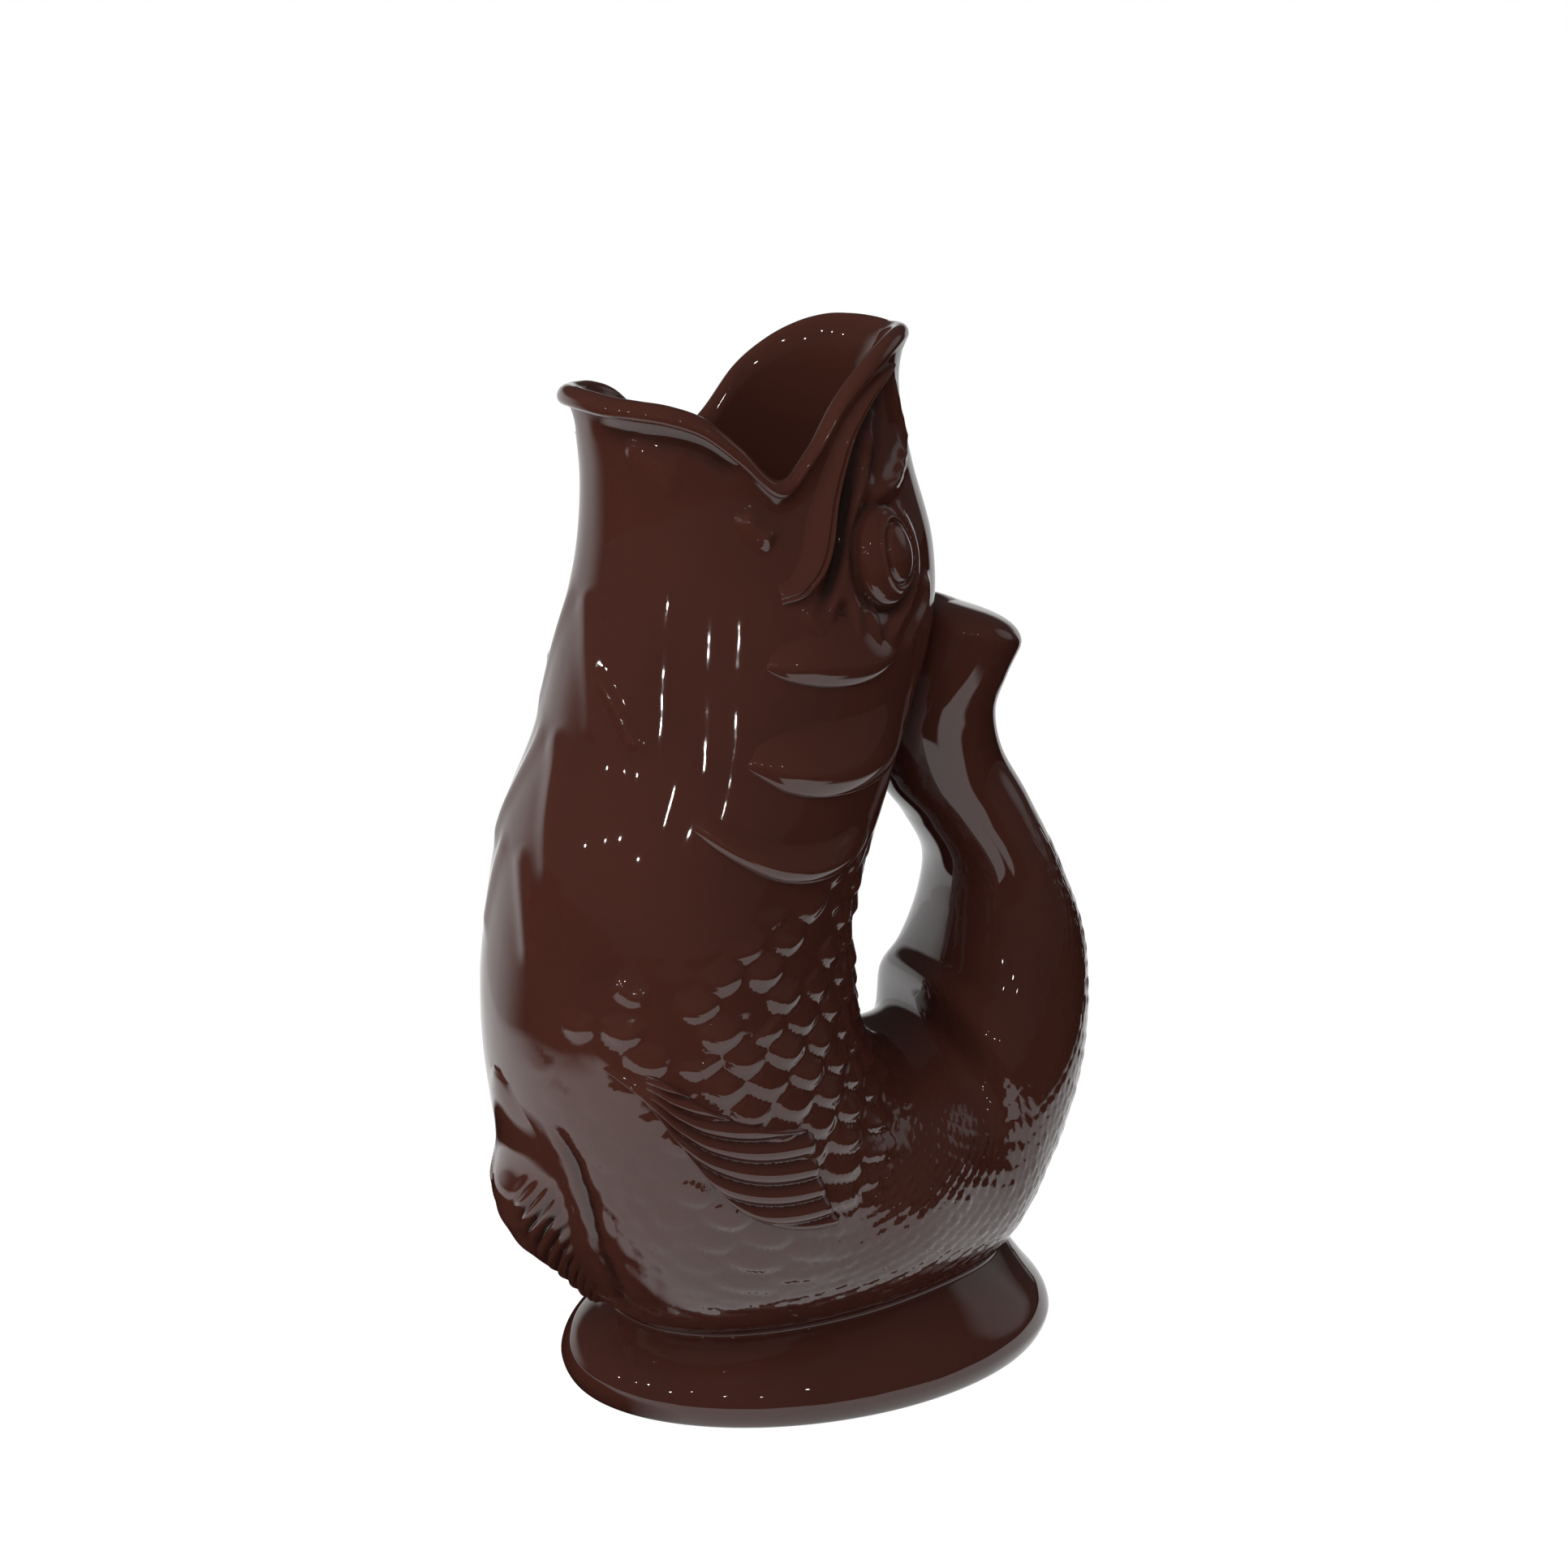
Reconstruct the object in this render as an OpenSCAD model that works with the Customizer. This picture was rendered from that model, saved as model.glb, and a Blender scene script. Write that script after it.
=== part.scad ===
// Gurgle jug: a glazed pottery fish that stands on a flared foot. The fish is one bent hollow tube.
// It runs from the open mouth down the body, round the base and up the tail, which is also the handle
// and holds the air that makes the gurgle. The tube is closed at the tail fin, which leans on the nape.
// Z is up, the table is at zero, -X is the spout and +X is the handle.

/* [Jug] */
// Height of the upper jaw above the table
jug_h = 251.5; // [200:0.5:300]
// Scale length of the fish in side view, belly front to outside of the tail
fish_l = 150; // [125:1:180]
// Widest width of the body
body_w = 104; // [88:1:124]
// Height of the spout tip above the table
spout_h = 240.5; // [215:0.5:250]
// Height of the corners of the mouth above the table
corner_h = 222; // [212:0.5:232]

/* [Walls] */
// Thickness of the body and tail walls
wall = 5; // [3:0.25:7]
// Thickness of the floor above the foot
floor_t = 6; // [3:0.25:9]
// Radius of the rolled lip round the mouth
lip_r = 2.4; // [2:0.1:3.6]
// Overhang of the rolled lip past the outside of the wall
lip_over = 1.4; // [0.5:0.1:2.5]
// Thickness of the slip that lutes each small piece to the jug
slip_t = 0.2; // [0.1:0.05:0.4]
// Gap that the slip fills where the top of the foot follows the curved underside
seat_gap = 0.4; // [0.2:0.05:0.6]

/* [Foot] */
// Height of the foot ring
foot_h = 19; // [14:0.5:26]
// Length of the neck where the body stands on the foot
neck_l = 102; // [92:1:110]
// Width of that neck
neck_w = 66; // [56:1:76]
// Flare of the foot beyond its neck, all round
foot_flare = 12.5; // [8:0.5:18]
// Width of the bare ring that rests on the table
rest_w = 7; // [4:0.5:10]
// Width of the land on which the body stands
land_w = 9; // [6:0.5:12]

/* [Relief] */
// Rise of the eyeballs above the head
eye_rise = 3; // [1:0.25:5]
// Thickness of the free edge of the jaw plates
jaw_plate_t = 1.8; // [0.8:0.1:3]
// Thickness of the free edge of the cheek plates
cheek_plate_t = 1.5; // [0.8:0.1:3]
// Thickness of the free edge of the gill covers
gill_cover_t = 1.7; // [0.8:0.1:3]
// Thickness of the free edge of the shoulder plates
shoulder_plate_t = 1.5; // [0.8:0.1:3]
// Thickness of the pectoral fins along their leading ridge
pectoral_fin_t = 2.2; // [1:0.1:3.5]
// Depth of the keel of the pelvic fin in front of the belly
pelvic_fin_rise = 7.5; // [3:0.25:9]
// Depth of the keel of the anal fin behind the belly
anal_fin_rise = 5; // [3:0.25:8]
// Thickness to which every small piece thins at its hidden edges
feather_t = 0.4; // [0.3:0.05:0.8]
// Rise of the domed end of the tail fin
fin_dome = 6; // [3:0.25:8]

/* [Hidden] */

glaze = [0.24, 0.13, 0.10];

// The tube's stations run from 0 at the mouth to 22 at the tip of the tail, and every place on the fish
// is a share of that run and an angle round the tube from the belly line. Each station is a flat oval
// section, given by its belly point and its back point in side view, as shares of the fish's length and
// of the height that stands above the foot, and by its half width, as a share of half the body's width.
// The last share is the power that fills out the back half of the oval, one for a plain oval.
station_shares = [
    [-0.352, 0.959, 0.180, 1.000, 0.606, 1],
    [-0.335, 0.910, 0.166, 0.942, 0.587, 1],
    [-0.328, 0.854, 0.188, 0.869, 0.606, 1],
    [-0.338, 0.781, 0.225, 0.787, 0.663, 1],
    [-0.370, 0.697, 0.222, 0.710, 0.740, 1],
    [-0.405, 0.606, 0.178, 0.628, 0.817, 1],
    [-0.458, 0.520, 0.128, 0.542, 0.885, 1],
    [-0.482, 0.430, 0.072, 0.447, 0.942, 1],
    [-0.495, 0.331, 0.068, 0.370, 0.981, 1],
    [-0.482, 0.224, 0.082, 0.312, 1.000, 1],
    [-0.425, 0.099, 0.118, 0.269, 0.971, 1],
    [-0.288, 0.000, 0.155, 0.252, 0.925, 0.95],
    [0.012, -0.028, 0.192, 0.254, 0.870, 0.9],
    [0.310, -0.006, 0.228, 0.271, 0.680, 0.8],
    [0.438, 0.099, 0.228, 0.312, 0.640, 0.6],
    [0.503, 0.219, 0.252, 0.335, 0.587, 0.6],
    [0.509, 0.340, 0.268, 0.387, 0.519, 0.85],
    [0.463, 0.434, 0.265, 0.434, 0.442, 1],
    [0.409, 0.508, 0.222, 0.482, 0.385, 1],
    [0.362, 0.561, 0.172, 0.525, 0.356, 1],
    [0.348, 0.606, 0.138, 0.589, 0.365, 1],
    [0.363, 0.641, 0.152, 0.649, 0.404, 1],
    [0.382, 0.666, 0.178, 0.707, 0.430, 1]
];
// Height of the lip above the corners of the mouth, every 12 degrees from spout to jaw
lip_shares = [1, 0.985, 0.95, 0.925, 0.88, 0.74, 0.40, 0, 0.22, 0.58, 0.80, 0.935, 1.005, 1.02, 1.015, 1];
// Sag of the rows below the lip, every 12 degrees, as shares of the height of the jaw above the
// corners, and how much of it reaches each of the first stations
sag_shares = [
    0, 0.013, 0.047, 0.083, 0.137, 0.256, 0.505, 0.794, 0.613, 0.261, 0.067, -0.016, -0.046, -0.036,
    -0.019, 0
];
dip_shares = [1, 0.8, 0.3, 0.05, 0];
lip_step_angle = 12;
corner_angle = 84;
// Station where the tail is luted to the body, where the tail fin is luted to the tail, and the tip
tail_root_share = 14;
fin_root_share = 19;
fin_tip_share = 22;
// Station past which the tail is pressed against the nape
nape_from_share = 18;
// Stations between which the nape lies
nape_top_share = 1.5;
nape_low_share = 7.5;
// Stations between which the body stands over the foot
belly_front_share = 10;
belly_rear_share = 15;
// Halvings that find a station
halvings = 12;
// Round divisions of the tube and of the foot
tube_n = 48;
foot_n = 64;
// First whole station below the rolled lip, and the power that draws the rings toward the base
lip_root_share = 0.75;
bend_power = 1.35;
// Foot: station on X, profile from the resting ring to the neck as shares of the flare and height
foot_x_share = 0.038;
neck_x_share = 0.036;
cove_power = 14;
foot_profile_shares = [
    [0.34, 0], [0.14, 0.05], [0.04, 0.15], [0, 0.28], [0.05, 0.42],
    [0.18, 0.57], [0.38, 0.71], [0.6, 0.83], [0.8, 0.92], [1, 1]
];
// Rings that close the top of the tail fin and the air chamber below it: size and rise
dome_shares = [[0.95, 0.42], [0.84, 0.72], [0.64, 0.91], [0.36, 0.98]];
chamber_end_share = 21;

// Outlines of the raised pieces on the fish's left side, as places on its skin: station and angle
// from the belly line. Each has a hidden front edge and a free rear edge.
jaw_front_shares = [[3.0, 76], [2.75, 81], [2.2, 88], [1.6, 94], [1.2, 103], [1.05, 114], [0.95, 126]];
jaw_free_shares = [[3.3, 80], [3.1, 92], [2.7, 99], [2.2, 104], [1.55, 113], [1.2, 125], [1.0, 137]];
cheek_front_shares = [[3.75, 76], [3.6, 82], [3.5, 89], [3.5, 97], [3.6, 105], [3.75, 112], [3.95, 119]];
cheek_free_shares = [[4.0, 74], [4.14, 80], [4.24, 88], [4.3, 96], [4.32, 105], [4.28, 113], [4.16, 121]];
gill_front_shares = [[4.7, 76], [4.6, 82], [4.55, 90], [4.55, 100], [4.5, 112], [4.45, 124], [4.45, 136]];
gill_free_shares = [[5.0, 73], [5.18, 80], [5.35, 88], [5.48, 100], [5.54, 114], [5.54, 127], [5.5, 141]];
shoulder_front_shares = [[5.35, 66], [5.6, 75], [5.75, 84], [5.85, 94], [5.9, 106], [5.85, 118], [5.8, 130]];
shoulder_free_shares = [[5.6, 62], [5.85, 71], [6.08, 81], [6.27, 92], [6.38, 105], [6.38, 120], [6.26, 133]];
pectoral_low_shares = [[8.0, 41], [8.4, 57], [8.95, 67], [9.5, 75.5], [10.1, 83.5], [10.8, 95.5]];
pectoral_top_shares = [[7.9, 44], [8.25, 61], [8.55, 73], [8.85, 86], [9.25, 100], [9.75, 114.5]];
pectoral_ray_count = 5;
ray_depth_share = 0.3;
// Middle, reach in stations and reach in degrees of each eye
eye_place_shares = [2.87, 119];
eye_reach_shares = [0.6, 10];
pupil_reach_share = 0.45;
// Keels on the middle line: the far end of each, how far the other stays from the neck of the foot,
// and half width in degrees, every sixth of the way
pelvic_top_share = 8.45;
pelvic_gap = 4.7;
pelvic_half_angles = [5, 19, 26, 27, 23, 17, 9];
pelvic_rise_shares = [0.1, 0.15, 0.24, 0.9, 0.8, 0.3, 0.05];
anal_gap = 3.2;
anal_run_share = 0.6;
anal_half_angles = [11, 11, 10, 9, 8, 7, 6];
anal_rise_shares = [1, 0.9, 0.7, 0.45, 0.25, 0.1, 0.05];

fish_h = jug_h - foot_h;
foot_x = foot_x_share * fish_l;
neck_x = neck_x_share * fish_l;

// Smooth curve through a table's rows, read at any fraction of a row
function blend(a, b, c, d, f) =
    (2 * b + (c - a) * f + (2 * a - 5 * b + 4 * c - d) * f * f + (3 * b - a - 3 * c + d) * f * f * f) / 2;
function read(tab, t) =
    let (
        last = len(tab) - 2,
        i = min(max(floor(t), 0), last),
        b = tab[i],
        c = tab[i + 1],
        a = i > 0 ? tab[i - 1] : 2 * b - c,
        d = i < last ? tab[i + 2] : 2 * c - b
    )
    blend(a, b, c, d, t - i);
function total(v, i = 0) = i < len(v) ? v[i] + total(v, i + 1) : 0 * v[0];

stations = [
    for (i = [0:len(station_shares) - 1])
    let (s = station_shares[i])
    [
        s[0] * fish_l,
        i == 0 ? spout_h : foot_h + s[1] * fish_h,
        s[2] * fish_l,
        i == 0 ? jug_h : foot_h + s[3] * fish_h,
        s[4] * body_w / 2,
        s[5]
    ]
];

// Height of the lip at an angle from the spout, and how far that dips below its flat section
function lip_z(a) =
    corner_h + read(lip_shares, a / lip_step_angle) * ((a < corner_angle ? spout_h : jug_h) - corner_h);
function lip_dip(a) = (spout_h + jug_h) / 2 - cos(a) * (jug_h - spout_h) / 2 - lip_z(a);
function folded(a) = a > 180 ? 360 - a : a;
// Dip of a section near the mouth: the lip's own at the rim, and the sag that fades down the throat
function dip_at(t, a) =
    let (sag = (jug_h - corner_h) * read(sag_shares, a / lip_step_angle))
    read(dip_shares, t) * sag + max(0, 1 - t) * (lip_dip(a) - sag);

// Cosine round a section, filled out on the back half
function swung(a, fill) = cos(a) < 0 ? -pow(-cos(a), fill) : cos(a);

// A point of the fish: station t, angle a round the tube from the belly line, height o off the skin
function skin(t, a, o = 0) =
    let (
        s = read(stations, t),
        hx = (s[2] - s[0]) / 2,
        hz = (s[3] - s[1]) / 2,
        k = swung(a, s[5]) * (1 + o / norm([hx, hz])),
        dip = t < len(dip_shares) - 1 ? dip_at(t, folded(a)) : 0
    )
    [
        (s[0] + s[2]) / 2 - hx * k,
        -sin(a) * (s[4] + o),
        (s[1] + s[3]) / 2 - hz * k - dip
    ];

// X of the nape at a width and height, found by halving the stretch of stations that holds it
function back_at(t, y) =
    let (s = read(stations, t), c = sqrt(max(0, 1 - pow(y / s[4], 2))))
    [(s[0] + s[2]) / 2 + c * (s[2] - s[0]) / 2, (s[1] + s[3]) / 2 + c * (s[3] - s[1]) / 2];
function nape_x(y, z, lo = nape_top_share, hi = nape_low_share, n = halvings) =
    let (m = (lo + hi) / 2, p = back_at(m, y))
    n == 0 ? p[0] : p[1] > z ? nape_x(y, z, m, hi, n - 1) : nape_x(y, z, lo, m, n - 1);
function pressed(p, gap) = [max(p[0], nape_x(p[1], p[2]) + gap), p[1], p[2]];

// Height of the belly line's side of the tube above a point of the foot, found in the same way
function belly_at(t, y) =
    let (s = read(stations, t), c = sqrt(max(0, 1 - pow(y / s[4], 2))))
    [(s[0] + s[2]) / 2 - c * (s[2] - s[0]) / 2, (s[1] + s[3]) / 2 - c * (s[3] - s[1]) / 2];
function belly_z(x, y, lo = belly_front_share, hi = belly_rear_share, n = halvings) =
    let (m = (lo + hi) / 2, p = belly_at(m, y))
    n == 0 ? p[1] : p[0] < x ? belly_z(x, y, m, hi, n - 1) : belly_z(x, y, lo, m, n - 1);

// Station where the belly line passes a length along the foot, found in the same way
function station_over(x, lo = belly_front_share, hi = belly_rear_share, n = halvings) =
    let (m = (lo + hi) / 2)
    n == 0 ? m : belly_at(m, 0)[0] < x ? station_over(x, m, hi, n - 1) : station_over(x, lo, m, n - 1);

// The tube's outside and inside: flat on the foot, and pressed to the nape at the tail
function outside(t, a) =
    let (p = skin(t, a), q = [p[0], p[1], max(p[2], foot_h)])
    t > nape_from_share ? pressed(q, slip_t) : q;
function inside(t, a) =
    let (p = skin(t, a, -wall), q = [p[0], p[1], max(p[2], foot_h + floor_t)])
    t > nape_from_share ? pressed(q, slip_t + wall) : q;
function around(n) = [for (j = [0:n - 1]) 360 * j / n];
function outer_ring(t) = [for (a = around(tube_n)) outside(t, a)];
function inner_ring(t) = [for (a = around(tube_n)) inside(t, a)];
// A ring of the rolled lip, at an angle round its bead from straight out
function lip_ring(f) = [
    for (a = around(tube_n))
    skin(0, a, lip_over - lip_r + lip_r * cos(f)) + [0, 0, lip_r * sin(f) - lip_r]
];
// Rings that shrink to the middle of a ring and rise off it along the tube
function dome_rings(ring, rise, gap) =
    let (
        mid = total(ring) / len(ring),
        across = ring[0] - ring[floor(len(ring) / 2)],
        up = [-across[2], 0, across[0]] / norm(across)
    )
    [
        for (s = dome_shares)
        [for (p = ring) pressed(mid + s[0] * (p - mid) + s[1] * rise * up, gap)]
    ];

// Closed solid through a list of rings. A hoop joins the last ring to the first, otherwise both
// end rings are closed with a fan.
module ring_solid(rings, hoop) {
    n = len(rings[0]);
    m = len(rings);
    spans = hoop ? m : m - 1;
    tips = hoop ? [] : [total(rings[0]) / n, total(rings[m - 1]) / n];
    sides = [
        for (i = [0:spans - 1], j = [0:n - 1])
        let (
            k = (j + 1) % n,
            a = i * n + j,
            b = i * n + k,
            c = ((i + 1) % m) * n + k,
            d = ((i + 1) % m) * n + j
        )
        each [[a, c, b], [a, d, c]]
    ];
    fans = hoop ? [] : [
        for (j = [0:n - 1])
        let (k = (j + 1) % n)
        each [[m * n, j, k], [m * n + 1, (m - 1) * n + k, (m - 1) * n + j]]
    ];
    polyhedron(points = concat([for (r = rings) each r], tips), faces = concat(sides, fans), convexity = 8);
}

// Closed pad on the skin. The place function gives station and angle, the lift function the
// thickness, both over a unit square of nu by nv cells.
module skin_pad(place, lift, nu, nv) {
    w = nv + 1;
    count = (nu + 1) * w;
    function at(i, j, top) =
        let (q = place(i / nu, j / nv))
        skin(q[0], q[1], slip_t + (top ? lift(i / nu, j / nv) : 0));
    points = [for (top = [true, false], i = [0:nu], j = [0:nv]) at(i, j, top)];
    caps = [
        for (i = [0:nu - 1], j = [0:nv - 1])
        let (a = i * w + j, b = a + 1, c = b + w, d = a + w)
        each [
            [a, b, c],
            [a, c, d],
            [a + count, c + count, b + count],
            [a + count, d + count, c + count]
        ]
    ];
    rim = concat(
        [for (j = [0:nv - 1]) j],
        [for (i = [0:nu - 1]) i * w + nv],
        [for (j = [0:nv - 1]) nu * w + nv - j],
        [for (i = [0:nu - 1]) (nu - i) * w]
    );
    walls = [
        for (k = [0:len(rim) - 1])
        let (a = rim[k], b = rim[(k + 1) % len(rim)])
        each [[b, a, a + count], [b, a + count, b + count]]
    ];
    polyhedron(points = points, faces = concat(caps, walls), convexity = 8);
}

// Place between two edge tables, and the swell of a plate from its feathered front to its free edge
function between(front, free, u, v) =
    let (k = v * (len(front) - 1))
    read(front, k) * (1 - u) + read(free, k) * u;
function plate_lift(t, u, v) =
    feather_t + (t - feather_t) * sin(90 * u) * pow(sin(180 * v), 0.5) * (u == 1 ? 0.45 : 1);
// Disc in a unit square, for round pads
function disc(u, v) =
    let (x = 2 * u - 1, y = 2 * v - 1)
    [x * sqrt(1 - y * y / 2), y * sqrt(1 - x * x / 2)];

module plate(front, free, t) {
    skin_pad(
        function (u, v) between(front, free, u, v),
        function (u, v) plate_lift(t, u, v),
        6,
        14
    );
}

module keel(stretch, half_angles, rise, rise_shares) {
    last = len(half_angles) - 1;
    skin_pad(
        function (u, v)
            [stretch[0] + u * (stretch[1] - stretch[0]), (2 * v - 1) * read(half_angles, u * last)],
        function (u, v) feather_t + (rise - feather_t) * read(rise_shares, u * last) * pow(sin(180 * v), 2.2),
        12,
        12
    );
}

module right_side() {
    mirror([0, 1, 0]) children();
}

// Stations of the body's rings, closer together where the base bends
function body_station(f) = lip_root_share + (tail_root_share - lip_root_share) * (1 - pow(1 - f, bend_power));
module body_shell() {
    color(glaze)
    ring_solid(
        concat(
            [for (i = [32:-1:0]) outer_ring(body_station(i / 32))],
            [for (f = [-35:25:215]) lip_ring(f)],
            [for (i = [0:24]) inner_ring(body_station(i / 24))]
        ),
        true
    );
}

module tail_handle() {
    color(glaze)
    ring_solid(
        concat(
            [for (i = [12:-1:0]) outer_ring(tail_root_share + (fin_root_share - tail_root_share) * i / 12)],
            [for (i = [0:10]) inner_ring(tail_root_share + (fin_root_share - tail_root_share) * i / 10)]
        ),
        true
    );
}

module tail_fin() {
    outer_domes = dome_rings(outer_ring(fin_tip_share), fin_dome, slip_t);
    inner_domes = dome_rings(inner_ring(chamber_end_share), fin_dome, slip_t + wall);
    color(glaze)
    ring_solid(
        concat(
            [for (i = [len(outer_domes) - 1:-1:0]) outer_domes[i]],
            [for (i = [9:-1:0]) outer_ring(fin_root_share + (fin_tip_share - fin_root_share) * i / 9)],
            [for (i = [0:5]) inner_ring(fin_root_share + (chamber_end_share - fin_root_share) * i / 5)],
            inner_domes
        ),
        false
    );
}

// Oval ring of the foot, at a distance in from its widest edge and a height
function foot_ring_at(inset, z) =
    let (k = min(1, inset / foot_flare), x = foot_x + (neck_x - foot_x) * k)
    [
        for (a = around(foot_n))
        [
            x + (neck_l / 2 + foot_flare - inset) * cos(a),
            (neck_w / 2 + foot_flare - inset) * sin(a),
            z
        ]
    ];
// How far the top of the foot rises to the underside of the body, where that curves up from the seat
function seat_rise(ring) = [for (p = ring) [0, 0, max(0, belly_z(p[0], p[1]) - seat_gap - foot_h)]];
module foot_ring() {
    neck_rise = seat_rise(foot_ring_at(foot_flare, foot_h));
    lands = [for (i = [1:4]) foot_ring_at(foot_flare + land_w * i / 4, foot_h)];
    color(glaze)
    ring_solid(
        concat(
            [
                for (p = foot_profile_shares)
                foot_ring_at(p[0] * foot_flare, p[1] * foot_h) + pow(p[1], cove_power) * neck_rise
            ],
            [for (r = lands) r + seat_rise(r)],
            [foot_ring_at(foot_profile_shares[0][0] * foot_flare + rest_w, 0)]
        ),
        true
    );
}

module left_eye() {
    color(glaze)
    skin_pad(
        function (u, v)
            let (d = disc(u, v))
            eye_place_shares + [d[0] * eye_reach_shares[0], d[1] * eye_reach_shares[1]],
        function (u, v)
            let (r = min(1, norm(disc(u, v))))
            feather_t + (eye_rise - feather_t) * sqrt(1 - r * r) * (r < pupil_reach_share ? 1 : 0.9),
        12,
        12
    );
}
module right_eye() {
    right_side() left_eye();
}

module left_jaw_plate() {
    color(glaze) plate(jaw_front_shares, jaw_free_shares, jaw_plate_t);
}
module right_jaw_plate() {
    right_side() left_jaw_plate();
}

module left_cheek_plate() {
    color(glaze) plate(cheek_front_shares, cheek_free_shares, cheek_plate_t);
}
module right_cheek_plate() {
    right_side() left_cheek_plate();
}

module left_gill_cover() {
    color(glaze) plate(gill_front_shares, gill_free_shares, gill_cover_t);
}
module right_gill_cover() {
    right_side() left_gill_cover();
}

module left_shoulder_plate() {
    color(glaze) plate(shoulder_front_shares, shoulder_free_shares, shoulder_plate_t);
}
module right_shoulder_plate() {
    right_side() left_shoulder_plate();
}

module left_pectoral_fin() {
    color(glaze)
    skin_pad(
        function (u, v) between(pectoral_low_shares, pectoral_top_shares, v, u),
        function (u, v)
            let (full = pow(sin(90 * u), 0.5) * sin(100 * (1 - v)))
            (feather_t + (pectoral_fin_t - feather_t) * full)
                * (1 - ray_depth_share * pow(cos(180 * pectoral_ray_count * v), 2) * u),
        12,
        18
    );
}
module right_pectoral_fin() {
    right_side() left_pectoral_fin();
}

module pelvic_fin() {
    low = station_over(neck_x - neck_l / 2 - pelvic_gap);
    color(glaze) keel([pelvic_top_share, low], pelvic_half_angles, pelvic_fin_rise, pelvic_rise_shares);
}

module anal_fin() {
    low = station_over(neck_x + neck_l / 2 + anal_gap);
    color(glaze) keel([low, low + anal_run_share], anal_half_angles, anal_fin_rise, anal_rise_shares);
}

body_shell();
tail_handle();
tail_fin();
foot_ring();
left_eye();
right_eye();
left_jaw_plate();
right_jaw_plate();
left_cheek_plate();
right_cheek_plate();
left_gill_cover();
right_gill_cover();
left_shoulder_plate();
right_shoulder_plate();
left_pectoral_fin();
right_pectoral_fin();
pelvic_fin();
anal_fin();
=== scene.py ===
"""Looks of the fish-shaped gurgle jug: one glossy brown glazed pot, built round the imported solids.

Lengths are in millimetres until a mesh is made. The fish's own shape comes from one table of oval
stations along the bent tube, the same one that the solids were made from. A place on the skin is a
station number t and an angle a in degrees from the belly line toward the fish's left side. Where the
skin is modelled, p stands for points and f for the angle from the belly line on either side.
"""

import bpy
import numpy as np
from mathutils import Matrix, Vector


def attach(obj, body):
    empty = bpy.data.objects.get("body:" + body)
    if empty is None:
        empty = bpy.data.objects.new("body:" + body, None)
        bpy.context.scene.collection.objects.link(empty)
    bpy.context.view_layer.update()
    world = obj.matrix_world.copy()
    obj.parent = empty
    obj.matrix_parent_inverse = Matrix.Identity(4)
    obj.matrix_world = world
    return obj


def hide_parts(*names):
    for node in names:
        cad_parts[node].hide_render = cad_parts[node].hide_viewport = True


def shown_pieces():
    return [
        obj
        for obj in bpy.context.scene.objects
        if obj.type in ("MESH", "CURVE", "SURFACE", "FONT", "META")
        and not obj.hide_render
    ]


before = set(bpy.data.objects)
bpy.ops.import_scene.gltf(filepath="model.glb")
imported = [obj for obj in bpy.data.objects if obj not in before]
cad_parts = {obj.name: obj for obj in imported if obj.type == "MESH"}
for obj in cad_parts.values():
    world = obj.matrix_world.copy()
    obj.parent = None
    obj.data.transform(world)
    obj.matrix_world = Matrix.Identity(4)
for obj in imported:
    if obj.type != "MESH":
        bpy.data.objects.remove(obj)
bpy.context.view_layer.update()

# sizes, as in the solids
JUG_H, FISH_L, BODY_W = 251.5, 150.0, 104.0
SPOUT_H, CORNER_H = 240.5, 222.0
WALL, FLOOR_T, LIP_R, LIP_OVER = 5.0, 6.0, 2.4, 1.4
FOOT_H, NECK_L, NECK_W, FLARE = 19.0, 102.0, 66.0, 12.5
REST_W, LAND_W = 7.0, 9.0
REST_IN = 0.34 * FLARE
FOOT_X, NECK_X = 0.038 * FISH_L, 0.036 * FISH_L
MILLIMETRE = 0.001
# how deep one piece of clay is pressed into the next
PRESSED_IN = 0.35

# stations: the first row under the lip, the tail's root, where the tail leans on the nape, and its end
TOP_ROW, TAIL_ROOT, LEANS_FROM, FIN_ROOT, FIN_TIP = 0.45, 14.0, 18.0, 19.0, 22.0

# belly point, back point, half width, and how round the back half is, from the mouth to the tail's tip
BELLY_X, BELLY_Z, BACK_X, BACK_Z, HALF_W, BACK_ROUND = range(6)
SHARES = np.array([
    [-0.352, 0.959, 0.180, 1.000, 0.606, 1], [-0.335, 0.910, 0.166, 0.942, 0.587, 1],
    [-0.328, 0.854, 0.188, 0.869, 0.606, 1], [-0.338, 0.781, 0.225, 0.787, 0.663, 1],
    [-0.370, 0.697, 0.222, 0.710, 0.740, 1], [-0.405, 0.606, 0.178, 0.628, 0.817, 1],
    [-0.458, 0.520, 0.128, 0.542, 0.885, 1], [-0.482, 0.430, 0.072, 0.447, 0.942, 1],
    [-0.495, 0.331, 0.068, 0.370, 0.981, 1], [-0.482, 0.224, 0.082, 0.312, 1.000, 1],
    [-0.425, 0.099, 0.118, 0.269, 0.971, 1], [-0.288, 0.000, 0.155, 0.252, 0.925, 0.95],
    [0.012, -0.028, 0.192, 0.254, 0.870, 0.9], [0.310, -0.006, 0.228, 0.271, 0.680, 0.8],
    [0.438, 0.099, 0.228, 0.312, 0.640, 0.6], [0.503, 0.219, 0.252, 0.335, 0.587, 0.6],
    [0.509, 0.340, 0.268, 0.387, 0.519, 0.85], [0.463, 0.434, 0.265, 0.434, 0.442, 1],
    [0.409, 0.508, 0.222, 0.482, 0.385, 1], [0.362, 0.561, 0.172, 0.525, 0.356, 1],
    [0.348, 0.606, 0.138, 0.589, 0.365, 1], [0.363, 0.641, 0.152, 0.649, 0.404, 1],
    [0.382, 0.666, 0.178, 0.707, 0.430, 1],
])
FISH_H = JUG_H - FOOT_H
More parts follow.
